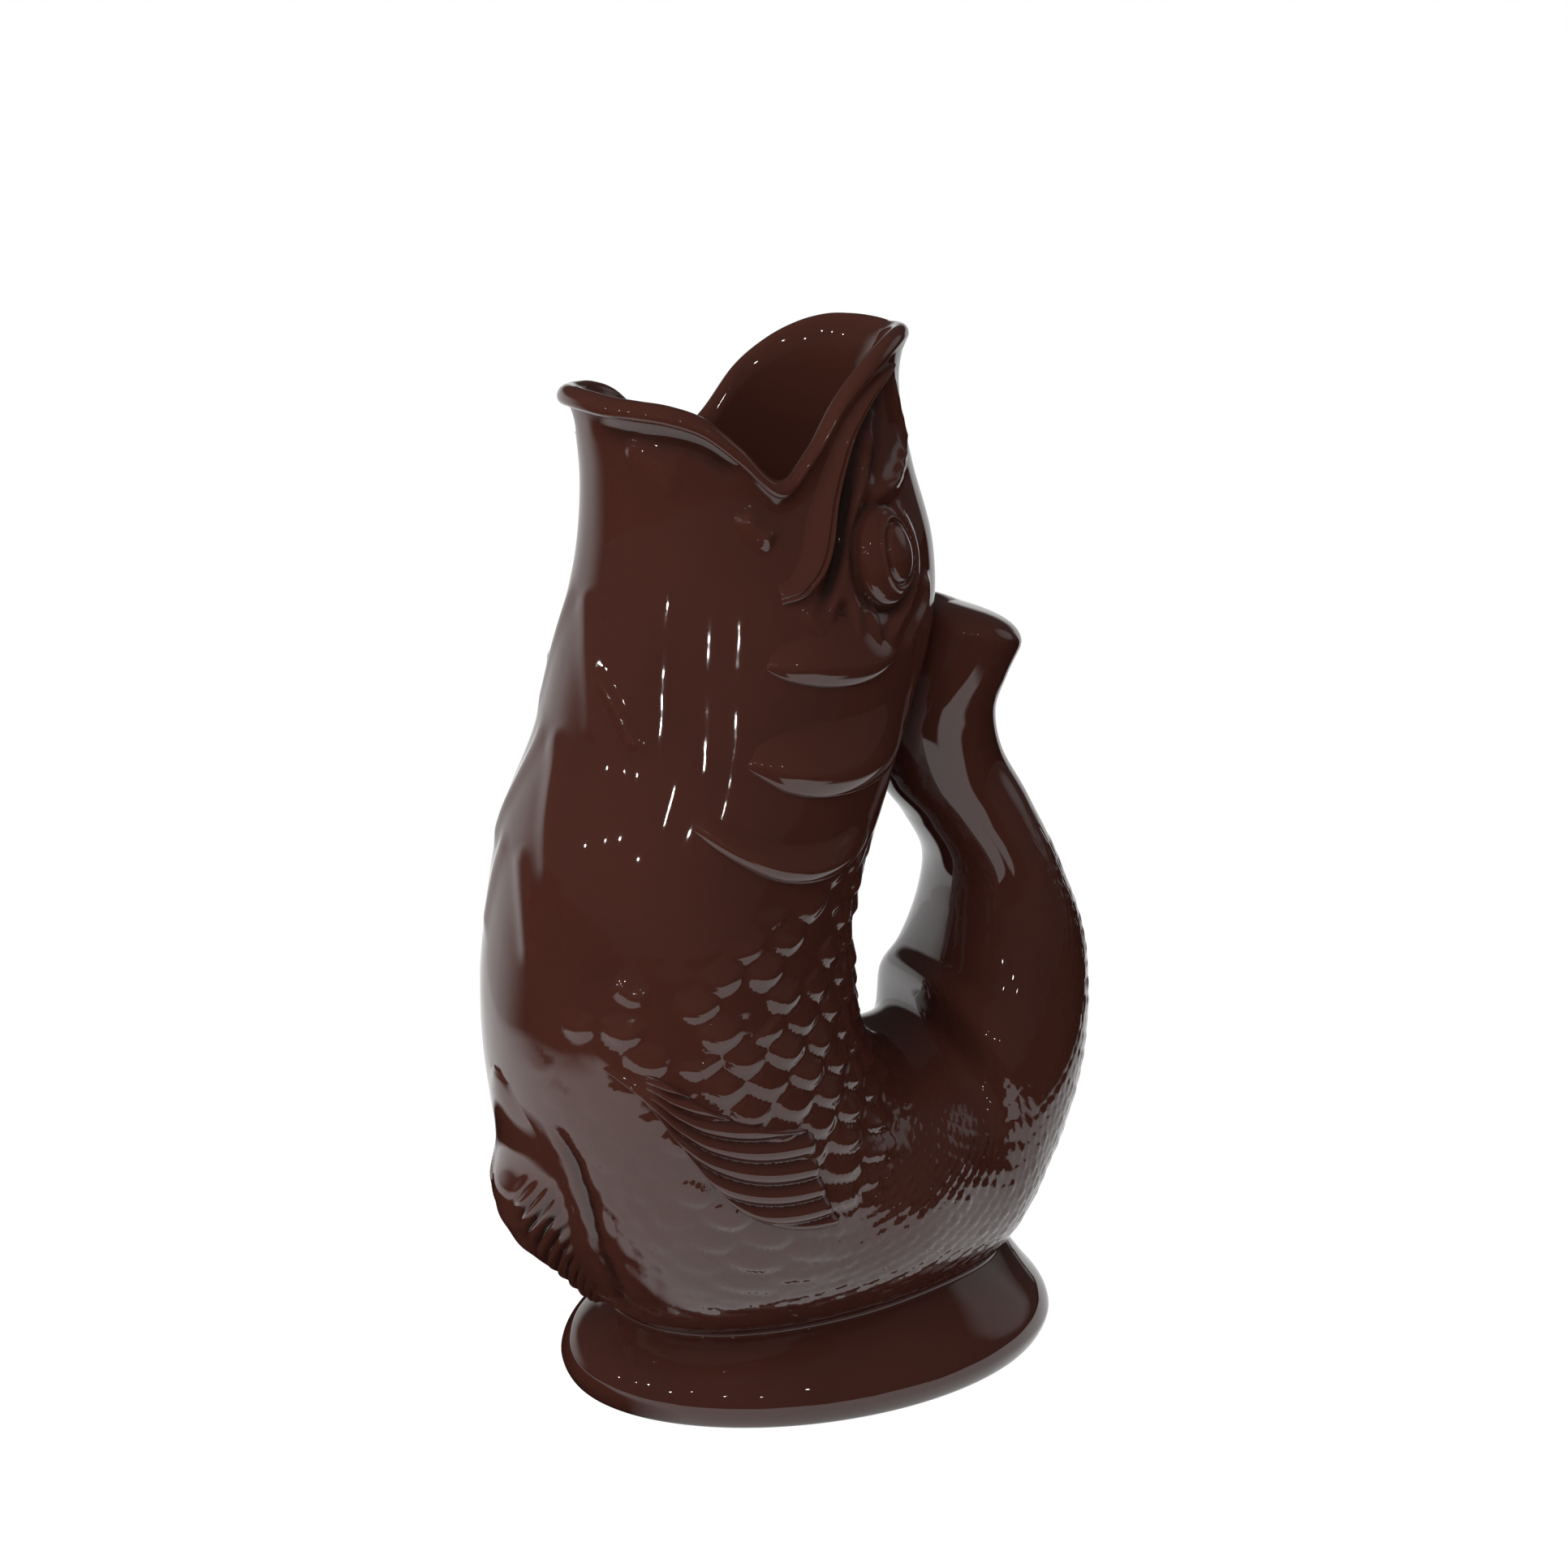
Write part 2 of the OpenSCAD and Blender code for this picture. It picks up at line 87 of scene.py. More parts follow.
STATIONS = SHARES * [FISH_L, FISH_H, FISH_L, FISH_H, BODY_W / 2, 1] + [0, FOOT_H, 0, FOOT_H, 0, 0]
STATIONS[0, BELLY_Z] = SPOUT_H
STATIONS[0, BACK_Z] = JUG_H

# the lip's own height from its low corners, every 12 degrees, and the sag that fades out below it
LIP_STEP = 12
LIP_RISE = np.array([1, 0.985, 0.95, 0.925, 0.88, 0.74, 0.40, 0,
                     0.22, 0.58, 0.80, 0.935, 1.005, 1.02, 1.015, 1])
LIP_SAG = np.array([0, 0.013, 0.047, 0.083, 0.137, 0.256, 0.505, 0.794,
                    0.613, 0.261, 0.067, -0.016, -0.046, -0.036, -0.019, 0])
LIP_FADE = np.array([1, 0.8, 0.3, 0.05, 0])
LOW_CORNER = 84

# how finely the meshes are cut
AROUND, FOOT_AROUND = 272, 256
BODY_ROWS, TAIL_ROWS, FIN_ROWS = 302, 120, 44
ANGLES = np.arange(AROUND) * 360 / AROUND


def read(table, t):
    """Smooth curve through a table's rows, read at fractional rows."""
    table = np.asarray(table, float)
    t = np.clip(np.asarray(t, float), 0, len(table) - 1)
    i = np.minimum(t.astype(int), len(table) - 2)
    part = t - i
    if table.ndim > 1:
        part = part[..., None]
    rows = np.concatenate([2 * table[:1] - table[1:2], table, 2 * table[-1:] - table[-2:-1]])
    a, b, c, d = rows[i], rows[i + 1], rows[i + 2], rows[i + 3]
    curve = (2 * a - 5 * b + 4 * c - d) * part ** 2 + (3 * b - a - 3 * c + d) * part ** 3
    return (2 * b + (c - a) * part + curve) / 2


def smooth(lo, hi, x):
    """Soft step from 0 at lo to 1 at hi, which may be the smaller of the two."""
    x = np.clip((x - lo) / (hi - lo), 0, 1)
    return x * x * (3 - 2 * x)


def fold_over(a):
    """Angle from the belly line on either side, from 0 to 180, for an angle round the whole tube."""
    return np.where(a > 180, 360 - a, a)


def lip_dip(t, a):
    """How far the sections near the mouth dip: the lip's own curve at the rim, then a fading sag."""
    a = fold_over(a)
    top = np.where(a < LOW_CORNER, SPOUT_H, JUG_H)
    lip = CORNER_H + read(LIP_RISE, a / LIP_STEP) * (top - CORNER_H)
    rim = (SPOUT_H + JUG_H) / 2 - np.cos(np.radians(a)) * (JUG_H - SPOUT_H) / 2 - lip
    sag = (JUG_H - CORNER_H) * read(LIP_SAG, a / LIP_STEP)
    faded = np.where(t < 4, read(LIP_FADE, np.minimum(t, 4)), 0) * sag
    return faded + np.maximum(0, 1 - t) * (rim - sag)


def skin(t, a, out=0.0):
    """Point of the fish at station t and angle a, a distance out from the skin."""
    t, a = np.broadcast_arrays(np.asarray(t, float), np.asarray(a, float) % 360)
    s = read(STATIONS, t)
    c, sn = np.cos(np.radians(a)), np.sin(np.radians(a))
    hx, hz = (s[..., BACK_X] - s[..., BELLY_X]) / 2, (s[..., BACK_Z] - s[..., BELLY_Z]) / 2
    swung = np.where(c < 0, -np.abs(c) ** s[..., BACK_ROUND], c) * (1 + out / np.hypot(hx, hz))
    return np.stack([
        (s[..., BELLY_X] + s[..., BACK_X]) / 2 - hx * swung,
        -sn * (s[..., HALF_W] + out),
        (s[..., BELLY_Z] + s[..., BACK_Z]) / 2 - hz * swung - lip_dip(t, a),
    ], -1)


def line_of_tube(t, y, side):
    """Point of the back line (side 1) or belly line (side -1) of the tube at width y."""
    s = read(STATIONS, t)
    c = side * np.sqrt(np.maximum(0, 1 - (y / s[..., HALF_W]) ** 2))
    x = (s[..., BELLY_X] + s[..., BACK_X]) / 2 + c * (s[..., BACK_X] - s[..., BELLY_X]) / 2
    z = (s[..., BELLY_Z] + s[..., BACK_Z]) / 2 + c * (s[..., BACK_Z] - s[..., BELLY_Z]) / 2
    return x, z


def last_station(lo, hi, y, still_short):
    """Station between lo and hi up to which still_short holds, found by halving."""
    lo, hi = np.full(np.shape(y), lo), np.full(np.shape(y), hi)
    for _ in range(22):
        m = (lo + hi) / 2
        short = still_short(m)
        lo, hi = np.where(short, m, lo), np.where(short, hi, m)
    return (lo + hi) / 2


def nape_x(y, z):
    """Where the fish's back stands at width y and height z, from the mouth to the belly."""
    return line_of_tube(last_station(1.5, 7.5, y, lambda t: line_of_tube(t, y, 1)[1] > z), y, 1)[0]


def belly_z(x, y):
    """How high the fish's underside stands over a place on the ground."""
    return line_of_tube(last_station(10.0, 15.0, y, lambda t: line_of_tube(t, y, -1)[0] < x), y, -1)[1]


def press(p, t, off_nape, floor):
    """Points p with the leaning end of the tail kept off the nape, and all of them above a floor."""
    kept_off = np.maximum(p[..., 0], nape_x(p[..., 1], p[..., 2]) + off_nape)
    p[..., 0] = np.where(np.asarray(t) > LEANS_FROM, kept_off, p[..., 0])
    p[..., 2] = np.maximum(p[..., 2], floor)
    return p


def outside(t, a):
    """Point of the fish's smooth outside, pressed on the foot and on the nape."""
    return press(skin(t, a), t, -PRESSED_IN, FOOT_H)


def inside(t, a):
    """Point of the hollow's wall."""
    return press(skin(t, a, -WALL), t, WALL, FOOT_H + FLOOR_T)


def normals(p, wrap):
    """Unit normals of a grid of points, whose columns close into a ring where wrap is set."""
    along = np.gradient(p, axis=0)
    if wrap:
        across = (np.roll(p, -1, 1) - np.roll(p, 1, 1)) / 2
    else:
        across = np.gradient(p, axis=1)
    n = np.cross(across, along)
    return n / np.maximum(np.linalg.norm(n, axis=-1, keepdims=True), 1e-9)


# relief of the skin
EYE_T, EYE_A, EYE_HALF_T, EYE_HALF_A = 2.9, 115.5, 0.6, 12
SCALE_TOP_Z, SCALE_STEP, SCALES_PER_SIDE, SCALE_LIFT = 160, 6.3, 12.5, 2.0
FINE_PER_SIDE, FINE_SIDE_LIFT, FINE_BELLY_LIFT = 28, 0.75, 0.5
# station where the big scales begin, every 20 degrees, and the fine scales' row number at each station
SCALE_START = np.array([7.6, 7.5, 7.0, 6.7, 6.6, 6.2, 5.9, 5.9, 6.0, 6.2])
FINE_ROW_AT = 0.95 * np.array([
    0, 0, 0, 0, 0, 0, 0, 2.6, 5.8, 9.4, 13.4, 19, 27, 35, 42, 48, 54, 60, 64, 68, 72, 76, 80.0])
# places along each fold or channel, its half width, and its height
HEAD_FOLDS = [
    # channel behind the jaw line, the fold that follows it, and the brow down to the cheek
    ([(0.62, 137), (0.8, 126), (1.2, 117), (1.65, 111), (2.2, 103.5), (2.65, 98.5), (3.1, 93.5), (3.5, 88)],
     2.0, -2.1),
    ([(0.95, 131), (1.4, 121), (2.1, 109), (2.6, 102), (2.94, 97.5), (3.3, 94), (3.6, 94)], 1.4, 0.8),
    ([(0.6, 141), (1.15, 142), (1.65, 145), (1.84, 139.8), (2.07, 130.6), (2.17, 121), (2.25, 111.5)],
     1.5, 1.5),
    ([(0.8, 130), (1.2, 126.5), (1.67, 123), (2.0, 115.5)], 1.8, -0.9),
    ([(2.3, 119), (2.5, 127), (2.87, 130), (3.28, 128), (3.58, 123), (3.78, 118), (4.1, 117)], 1.4, 1.3),
    ([(3.2, 137), (3.61, 137), (3.88, 128.7), (4.13, 123.4)], 1.6, 0.9),
    # folds of the cheek
    ([(3.3, 85), (3.52, 87.2), (3.71, 90.4), (3.96, 94.4)], 1.3, 0.7),
    ([(3.3, 97), (3.5, 97.5), (3.75, 98.8), (3.98, 100.5)], 1.8, -0.8),
    ([(3.3, 101.1), (3.64, 102.2), (3.92, 104.3)], 1.4, 0.8),
    ([(3.42, 107.7), (3.77, 109.5), (4.06, 112.1)], 1.4, 0.8),
    # dimple, and folds of the lip and throat
    ([(1.95, 69), (2.25, 71.5), (2.4, 77)], 2.0, 1.7),
    ([(0.82, 8), (0.80, 30), (0.77, 50), (0.76, 62), (0.76, 72)], 2.3, -0.9),
    ([(1.1, 27), (1.3, 37), (1.8, 48)], 2.1, 1.1),
    ([(4.07, 19.8), (4.36, 28.8), (4.63, 35.4), (4.84, 40.4)], 1.4, 0.8),
    ([(3.2, 4), (3.7, 12), (4.3, 20), (4.9, 26)], 3.2, 0.6),
    ([(4.7, 3), (5.2, 10), (5.8, 17), (6.4, 24)], 3.2, 0.7),
    ([(6.0, 5), (6.6, 12), (7.3, 18)], 3.0, 0.6),
    ([(7.2, 47), (7.32, 53), (7.3, 58)], 2.0, 0.7),
    # channel beside the pelvic keel
    ([(8.7, 25), (9.1, 31), (9.6, 32), (10.1, 29), (10.5, 24), (10.75, 19)], 2.0, -1.1),
]


def dense(places, steps=5):
    """The same line of places with more of them, on a smooth curve."""
    places = np.array(places, float)
    return read(places, np.linspace(0, len(places) - 1, (len(places) - 1) * steps + 1))


def stroke(p, places, width, height):
    """Rounded ridge or groove along places on the skin, as a height over the points p."""
    line = np.array([skin(t, a) for t, a in dense(places)])
    best = np.full(p.shape[:-1], 1e9)
    share = np.zeros(p.shape[:-1])
    for k in range(len(line) - 1):
        d = line[k + 1] - line[k]
        part = np.clip(((p - line[k]) @ d) / max(d @ d, 1e-9), 0, 1)
        far = np.linalg.norm(p - line[k] - part[..., None] * d, axis=-1)
        share = np.where(far < best, (k + part) / (len(line) - 1), share)
        best = np.minimum(best, far)
    ends = np.minimum(1, np.minimum(share, 1 - share) * 6)
    return height * np.exp(-(best / width) ** 2) * smooth(0, 1, ends)


def scales(row, column, lobe=0.45, soft=0.5):
    """Overlapping scales: how far each place stands above the bed, and its scale's row and column."""
    def reach(r):
        """How far the rounded scales of a row lap over the next."""
        v = (column + 0.5 * (r % 2)) % 1 - 0.5
        return lobe * (1 - (2 * v) ** 2)
    r0 = np.floor(row) - 1
    under = row < r0 + 1 + reach(r0)
    r = np.where(under, r0, r0 + 1)
    edge = r + 1 + reach(r) - row
    ramp = 1 - edge / (1 + lobe)
    v = (column + 0.5 * (r % 2)) % 1 - 0.5
    return ramp * smooth(0, soft, edge) * (1 - (2 * v) ** 2), r, np.floor(column + 0.5 * (r % 2))


def cell_chance(r, c, seed):
    """The same mixed number from 0 to 1 for every scale of a row and column."""
    x = np.sin(r * 12.9898 + c * 78.233 + seed * 37.719) * 43758.5453
    return x - np.floor(x)


def eye_socket(t, f):
    """Groove round each eye."""
    e = np.hypot((t - EYE_T) / EYE_HALF_T, (f - EYE_A) / EYE_HALF_A)
    return -1.1 * np.exp(-((e - 1.12) / 0.13) ** 2)


def flank_scales(t, f, z):
    """Big scales, few and far between where they begin, and nearly smooth low down in front."""
    past_start = t - read(SCALE_START, f / 20)
    amount = smooth(0.0, 1.1, past_start) * smooth(11.6, 10.3, t)
    amount *= smooth(14, 34, f) * (1 - 0.78 * smooth(104, 92, z) * smooth(72, 54, f))
    bed, r, c = scales((SCALE_TOP_Z - z) / SCALE_STEP, f / 180 * SCALES_PER_SIDE)
    luck = cell_chance(r, c, 1)
    kept = luck > 0.28 * (1 - smooth(0.6, 2.2, past_start))
    return amount * bed * np.where(kept, 0.5 + 0.5 * luck, 0.05) * SCALE_LIFT


def fine_scales(t, f):
    """Fine scales of the base, and of the outer side of the tail."""
    row = read(FINE_ROW_AT, t) + (f - 95) * 0.004
    limit = 150 - 20 * np.clip(t - 12, 0, 3)
    amount = np.maximum(smooth(9.9, 11.2, t), smooth(8.6, 9.6, t) * smooth(72, 55, f))
    amount *= smooth(18.2, 16.6, t) * smooth(0, 34, limit - f) * smooth(0, 24, f)
    bed, r, c = scales(row, f / 180 * FINE_PER_SIDE, 0.7, 0.7)
    luck = 0.25 + 0.75 * cell_chance(r, c, 2)
    return amount * bed * luck * np.where(f > 72, FINE_SIDE_LIFT, FINE_BELLY_LIFT)


def unevenness(p):
    """Soft waves of a hand-modelled surface."""
    x, y, z = p[..., 0], p[..., 1], p[..., 2]
    return 0.10 * np.sin(z / 9.1 + 2.2 * np.sin(x / 17)) * np.sin(y / 11.3 + x / 13)


def skin_relief(t, a, p):
    """Height of the modelled detail over the smooth skin."""
    f = fold_over(a)
    left = p.copy()
    left[..., 1] = -np.abs(left[..., 1])
    h = np.zeros(p.shape[:-1])
    for places, width, height in HEAD_FOLDS:
        h += stroke(left, places, width, height)
    h += eye_socket(t, f)
    h += flank_scales(t, f, p[..., 2])
    h += fine_scales(t, f)
    h += unevenness(p)
    return h * smooth(0.0, 0.2, t - TOP_ROW)


# meshes
def make_piece(name, verts, faces, node, tone, vert_normals=None):
    """Closed mesh in the shared frame that stands for one CAD node. Tone is how thin the glaze runs."""
    mesh = bpy.data.meshes.new(name)
    mesh.from_pydata((np.asarray(verts) * MILLIMETRE).tolist(), [], [list(map(int, f)) for f in faces])
    mesh.polygons.foreach_set("use_smooth", np.ones(len(mesh.polygons), bool))
    layer = mesh.attributes.new("glaze_depth", "FLOAT", "POINT")
    layer.data.foreach_set("value", np.asarray(tone, np.float32))
    if vert_normals is not None:
        mesh.normals_split_custom_set_from_vertices(np.asarray(vert_normals, float).tolist())
    mesh.update()
    piece = bpy.data.objects.new(name, mesh)
    bpy.context.scene.collection.objects.link(piece)
    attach(piece, "root")
    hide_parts(node)
    return piece


def hoop_faces(rows, cols, close=False):
    """Quads between stacked rings, seen from the side to which the rings' normals point."""
    i, j = np.meshgrid(np.arange(rows if close else rows - 1), np.arange(cols), indexing="ij")
    a = i * cols + j
    b = i * cols + (j + 1) % cols
    c = ((i + 1) % rows) * cols + (j + 1) % cols
    d = ((i + 1) % rows) * cols + j
    return np.stack([a, b, c, d], -1).reshape(-1, 4)


def by_length(t0, t1, n):
    """Station numbers spaced evenly along the tube's flank."""
    t = np.linspace(t0, t1, 600)
    p = skin(t, np.full(600, 80.0))
    run = np.concatenate([[0], np.cumsum(np.linalg.norm(np.diff(p, axis=0), axis=1))])
    return np.interp(np.linspace(0, run[-1], n), run, t)


def model_skin(rows):
    """Grid of points of the whole fish with its relief, their normals, and the relief's height."""
    t, a = np.meshgrid(rows, ANGLES, indexing="ij")
    plain = outside(t, a)
    turned = normals(skin(t, a), True)
    from_middle = plain - plain.mean(1, keepdims=True)
    turned = turned * np.sign((from_middle * turned).sum(-1).mean())
    on_foot = (plain[..., 2] <= FOOT_H + 0.01) & (t > 10) & (t < TAIL_ROOT)
    on_nape = (t > LEANS_FROM) & (skin(t, a)[..., 0] < plain[..., 0] - 0.01)
    height = np.where(on_foot | on_nape, 0, skin_relief(t, a, plain))
    points = plain + turned * height[..., None]
    points[..., 2] = np.maximum(points[..., 2], FOOT_H)
    shaded = normals(points, True)
    return points, shaded * np.sign((shaded * turned).sum()), height


# trunk, tail and tail's end
body_rows = by_length(TOP_ROW, TAIL_ROOT, BODY_ROWS)
tail_rows = by_length(TAIL_ROOT, FIN_ROOT, TAIL_ROWS)
fin_rows = by_length(FIN_ROOT, FIN_TIP, FIN_ROWS)
modelled, shaded, relief = model_skin(np.concatenate([body_rows, tail_rows[1:], fin_rows[1:]]))
LIP_TONE, INNER_TONE = 0.3, 0.5
# how far the tail's end bulges, outside and in its hollow
TIP_BULGE, HOLLOW_BULGE = 6.0, 4.0


def lip_rings():
    """Rings over the rolled lip, from outside to inside. It rolls over less along the upper jaw."""
    jaw = smooth(76, 104, fold_over(ANGLES))
    over = LIP_OVER * (1 - 0.8 * jaw)
    rings = []
    for k in np.linspace(0, 1, 13):
        roll = np.radians(-42 + 34 * jaw + k * (216 - 34 * jaw))
        ring = skin(0, ANGLES, over - LIP_R + LIP_R * np.cos(roll))
        ring[:, 2] += LIP_R * (np.sin(roll) - 1)
        rings.append(ring)
    return rings


def dome_rings(end, angles, bulge, roundness):
    """Rings of the dome that closes the tail's end, from its last ring to near the middle."""
    middle = end.mean(0)
    across = end[0] - end[AROUND // 2]
    up = np.array([-across[2], 0, across[0]]) / np.hypot(across[0], across[2])
    return [middle + np.cos(rise) ** roundness * (end - middle) + np.sin(rise) * bulge * up
            for rise in np.radians(angles)]


def outer_dome(end):
    """The dome's outside, pressed on the nape, from near its middle to the tail's last ring."""
    dome = dome_rings(end, np.linspace(12, 84, 12), TIP_BULGE, 0.55)
    for ring in dome:
        ring[:, 0] = np.maximum(ring[:, 0], nape_x(ring[:, 1], ring[:, 2]) - PRESSED_IN)
    return dome[::-1]


def tube_piece(name, node, first, last, inner_rows, lip=False, tip=False):
    """A stretch of the bent tube: outside with relief, inside plain, closed between them."""
    outer = list(modelled[first:last + 1][::-1])
    outer_normals = list(shaded[first:last + 1][::-1])
    depth = np.clip(relief[first:last + 1][::-1], -1.4, 1.2)
    outer_tones = list(np.where(depth < 0, depth * 0.95, depth * 0.45))
    before = outer_dome(outer[0]) if tip else []
    over = lip_rings() if lip else []
    inner = [inside(np.full(AROUND, t), ANGLES) for t in inner_rows]
    after = dome_rings(inner[-1], [25, 55, 80], HOLLOW_BULGE, 1.0) if tip else []
    flat = np.zeros(AROUND)
    pts = np.array(before + outer + over + inner + after)
    tones = np.concatenate(
        [flat] * len(before) + outer_tones + [flat + LIP_TONE] * len(over) + [flat + INNER_TONE] * len(inner)
        + [flat] * len(after))
    # the outside keeps the normals of the whole fish, so that no seam shows between two stretches
    start = len(before)
    known = range(start, start + len(outer))
    own = normals(pts, True)
    own = own * np.sign(sum((own[k] * outer_normals[k - start]).sum() for k in known))
    point_normals = own.copy()
    point_normals[start:start + len(outer)] = outer_normals
    point_normals = point_normals.reshape(-1, 3)
    faces = hoop_faces(len(pts), AROUND, close=not tip).tolist()
    verts = pts.reshape(-1, 3).tolist()
    if tip:
        top = len(verts)
        last_row = (len(pts) - 1) * AROUND
        verts += [pts[0].mean(0).tolist(), pts[-1].mean(0).tolist()]
        point_normals = np.concatenate([point_normals, [own[0].mean(0), own[-1].mean(0)]])
        tones = np.concatenate([tones, [0, 0]])
        for j in range(AROUND):
            k = (j + 1) % AROUND
            faces.append([top, k, j])
            faces.append([top + 1, last_row + j, last_row + k])
    return make_piece(name, verts, faces, node, tones, point_normals)


def build_fish():
    """The trunk, the hollow tail and the closed end of the tail."""
    tail_at = len(body_rows) - 1
    fin_at = tail_at + len(tail_rows) - 1
    tip_at = fin_at + len(fin_rows) - 1
    tube_piece("body_with_mouth", "body_shell", 0, tail_at, by_length(0.75, TAIL_ROOT, 28), lip=True)
    tube_piece("hollow_tail", "tail_handle", tail_at, fin_at, by_length(TAIL_ROOT, FIN_ROOT, 12))
    tube_piece("tail_fin_end", "tail_fin", fin_at, tip_at, by_length(FIN_ROOT, 21.0, 7), tip=True)


build_fish()

# foot: how far in as shares of the flare, and how high as shares of its height
FOOT_PROFILE = np.array([
    [0.34, 0], [0.20, 0.018], [0.12, 0.06], [0.05, 0.14], [0.01, 0.22], [0, 0.28], [0.02, 0.35], [0.06, 0.43],
    [0.13, 0.52], [0.24, 0.62], [0.38, 0.71], [0.55, 0.80], [0.72, 0.88], [0.87, 0.95], [0.97, 1.0],
])
# tone of the bare clay, and how high up the foot is bare
BARE_TONE, BARE_UNDER = -3, 0.3
# how far the flare's top edge stays under the belly, where a cove of clay fills the corner
COVE_H = 2.0


def foot_oval(inset):
    """Points of the foot's oval at a distance in from its widest edge."""
    k = np.minimum(1, np.asarray(inset, float) / FLARE)[..., None]
    a = np.radians(np.arange(FOOT_AROUND) * 360 / FOOT_AROUND)
    x = FOOT_X + (NECK_X - FOOT_X) * k
    inset = np.asarray(inset, float)[..., None]
    return x + (NECK_L / 2 + FLARE - inset) * np.cos(a), (NECK_W / 2 + FLARE - inset) * np.sin(a)


def build_foot():
    """Flared foot: its outside, the cove of clay under the body, the hollow, and the band it rests on."""
    inset, height = read(FOOT_PROFILE, np.linspace(0, len(FOOT_PROFILE) - 1, 57)).T
    height = np.maximum(height, 0)
    x, y = foot_oval(inset * FLARE)
    rise = np.maximum(0, belly_z(*foot_oval(np.full(1, FLARE))) - FOOT_H)
    z = height[:, None] * FOOT_H + smooth(0.45, 1.02, height)[:, None] ** 2.5 * (rise - COVE_H)
    rings = [np.stack([x, y, z], -1)]
    # cove of clay that closes the corner under the body
    for step, up in ((-0.3, 0.55), (0.1, 1.15), (1.0, 1.9), (2.2, 2.45), (3.6, 2.8)):
        x, y = foot_oval(np.full(1, FLARE - step))
        under_body = np.maximum(FOOT_H, belly_z(x, y))
        k = smooth(-0.5, 3.6, step)
        lift = (FOOT_H + rise - COVE_H) * (1 - k) + (under_body + PRESSED_IN) * k
        rings.append(np.stack([x, y, lift + up * (1 - k)], -1))
    # inner side, out of sight under the body
    for step in (3.6, 0, -4, -8.8):
        x, y = foot_oval(np.full(1, FLARE - step))
        rings.append(np.stack([x, y, np.maximum(FOOT_H + 0.8, belly_z(x, y) + 1.2)], -1))
    # wall of the hollow, then the resting band, as distances in and shares of the foot's height
    for place, share in (
            (FLARE + LAND_W, 0.98), (FLARE + LAND_W + 0.4, 0.9), (FLARE + LAND_W - 0.5, 0.6),
            (REST_IN + REST_W + 1.6, 0.3), (REST_IN + REST_W + 0.5, 0.06), (REST_IN + REST_W, 0.0),
            (REST_IN + REST_W * 0.66, 0), (REST_IN + REST_W * 0.33, 0)):
        x, y = foot_oval(np.full(1, place))
        rings.append(np.stack([x, y, np.full(x.shape, share * FOOT_H)], -1))
    pts = np.concatenate(rings)
    rows, cols = pts.shape[:2]
    wave = 0.22 * np.sin(pts[..., 0] / 14 + 1.0) * np.cos(pts[..., 1] / 10)
    bulge = smooth(0.2, 3, pts[..., 2]) * (np.arange(rows) < 50)[:, None]
    pts[..., 2] += wave * bulge * 0.6
    tone = np.zeros((rows, cols))
    tone[:12] = np.linspace(BARE_TONE, 0.2, 12)[:, None]
    tone[-5:] = BARE_TONE
    faces = hoop_faces(rows, cols, close=True)
    return make_piece("flared_foot", pts.reshape(-1, 3), faces, "foot_ring", tone.reshape(-1))


foot = build_foot()

# raised pieces on the skin: the edge where each one grows out of the skin, and its free edge
PAD_DEPTH, EDGE_SINK = 0.9, 0.3
PAD_FLOOR = FOOT_H - 4.0
JAW_FRONT = [[2.95, 75], [2.85, 79], [2.55, 83], [2.1, 87], [1.6, 91], [1.15, 95], [0.85, 100], [0.6, 107],
             [0.5, 116], [0.47, 127]]
JAW_FREE = [[3.3, 77.4], [3.22, 84.9], [2.93, 91.3], [2.47, 96.8], [1.85, 102.5], [1.32, 109.2],
            [0.99, 114.7], [0.72, 123.1], [0.6, 130.9], [0.53, 141]]
CHEEK_FRONT = [[3.75, 76], [3.6, 82], [3.5, 89], [3.5, 97], [3.6, 105], [3.75, 112], [3.95, 119]]
CHEEK_FREE = [[4.0, 74], [4.14, 80], [4.24, 88], [4.3, 96], [4.32, 105], [4.28, 113], [4.16, 121]]
GILL_FRONT = [[4.7, 76], [4.6, 82], [4.55, 90], [4.55, 100], [4.5, 112], [4.45, 124], [4.45, 136]]
GILL_FREE = [[5.0, 73], [5.18, 80], [5.35, 88], [5.48, 100], [5.54, 114], [5.54, 127], [5.5, 141]]
SHOULDER_FRONT = [[5.35, 66], [5.6, 75], [5.75, 84], [5.85, 94], [5.9, 106], [5.85, 118], [5.8, 130]]
SHOULDER_FREE = [[5.6, 62], [5.85, 71], [6.08, 81], [6.27, 92], [6.38, 105], [6.38, 120], [6.26, 133]]
PECTORAL_LOW = [[8.0, 41], [8.4, 57], [8.95, 66], [9.5, 72.5], [10.1, 82], [10.84, 97.3]]
PECTORAL_TOP = [[7.9, 44], [8.1, 58], [8.25, 66], [8.5, 74], [8.85, 87], [9.25, 106.5]]
# height of each free edge above the skin, and of the eye's ball and its pupil
JAW_THICK, CHEEK_THICK, GILL_THICK, SHOULDER_THICK = 2.5, 2.4, 3.0, 2.9
EYE_THICK, PUPIL_THICK = 3.3, 0.9
# each keel's height, the station where it starts and how many stations it runs, and at seven places along
# it the half width in degrees and the share of the height
PELVIC_H, PELVIC_FROM, PELVIC_RUN = 7.5, 8.45, 2.3
PELVIC_HALF, PELVIC_RISE = [5, 19, 26, 27, 23, 17, 9], [0.1, 0.15, 0.24, 0.9, 0.8, 0.3, 0.05]
ANAL_H, ANAL_FROM, ANAL_RUN = 5.0, 13.58, 0.6
ANAL_HALF, ANAL_RISE = [11, 11, 10, 9, 8, 7, 6], [1, 0.9, 0.7, 0.45, 0.25, 0.1, 0.05]
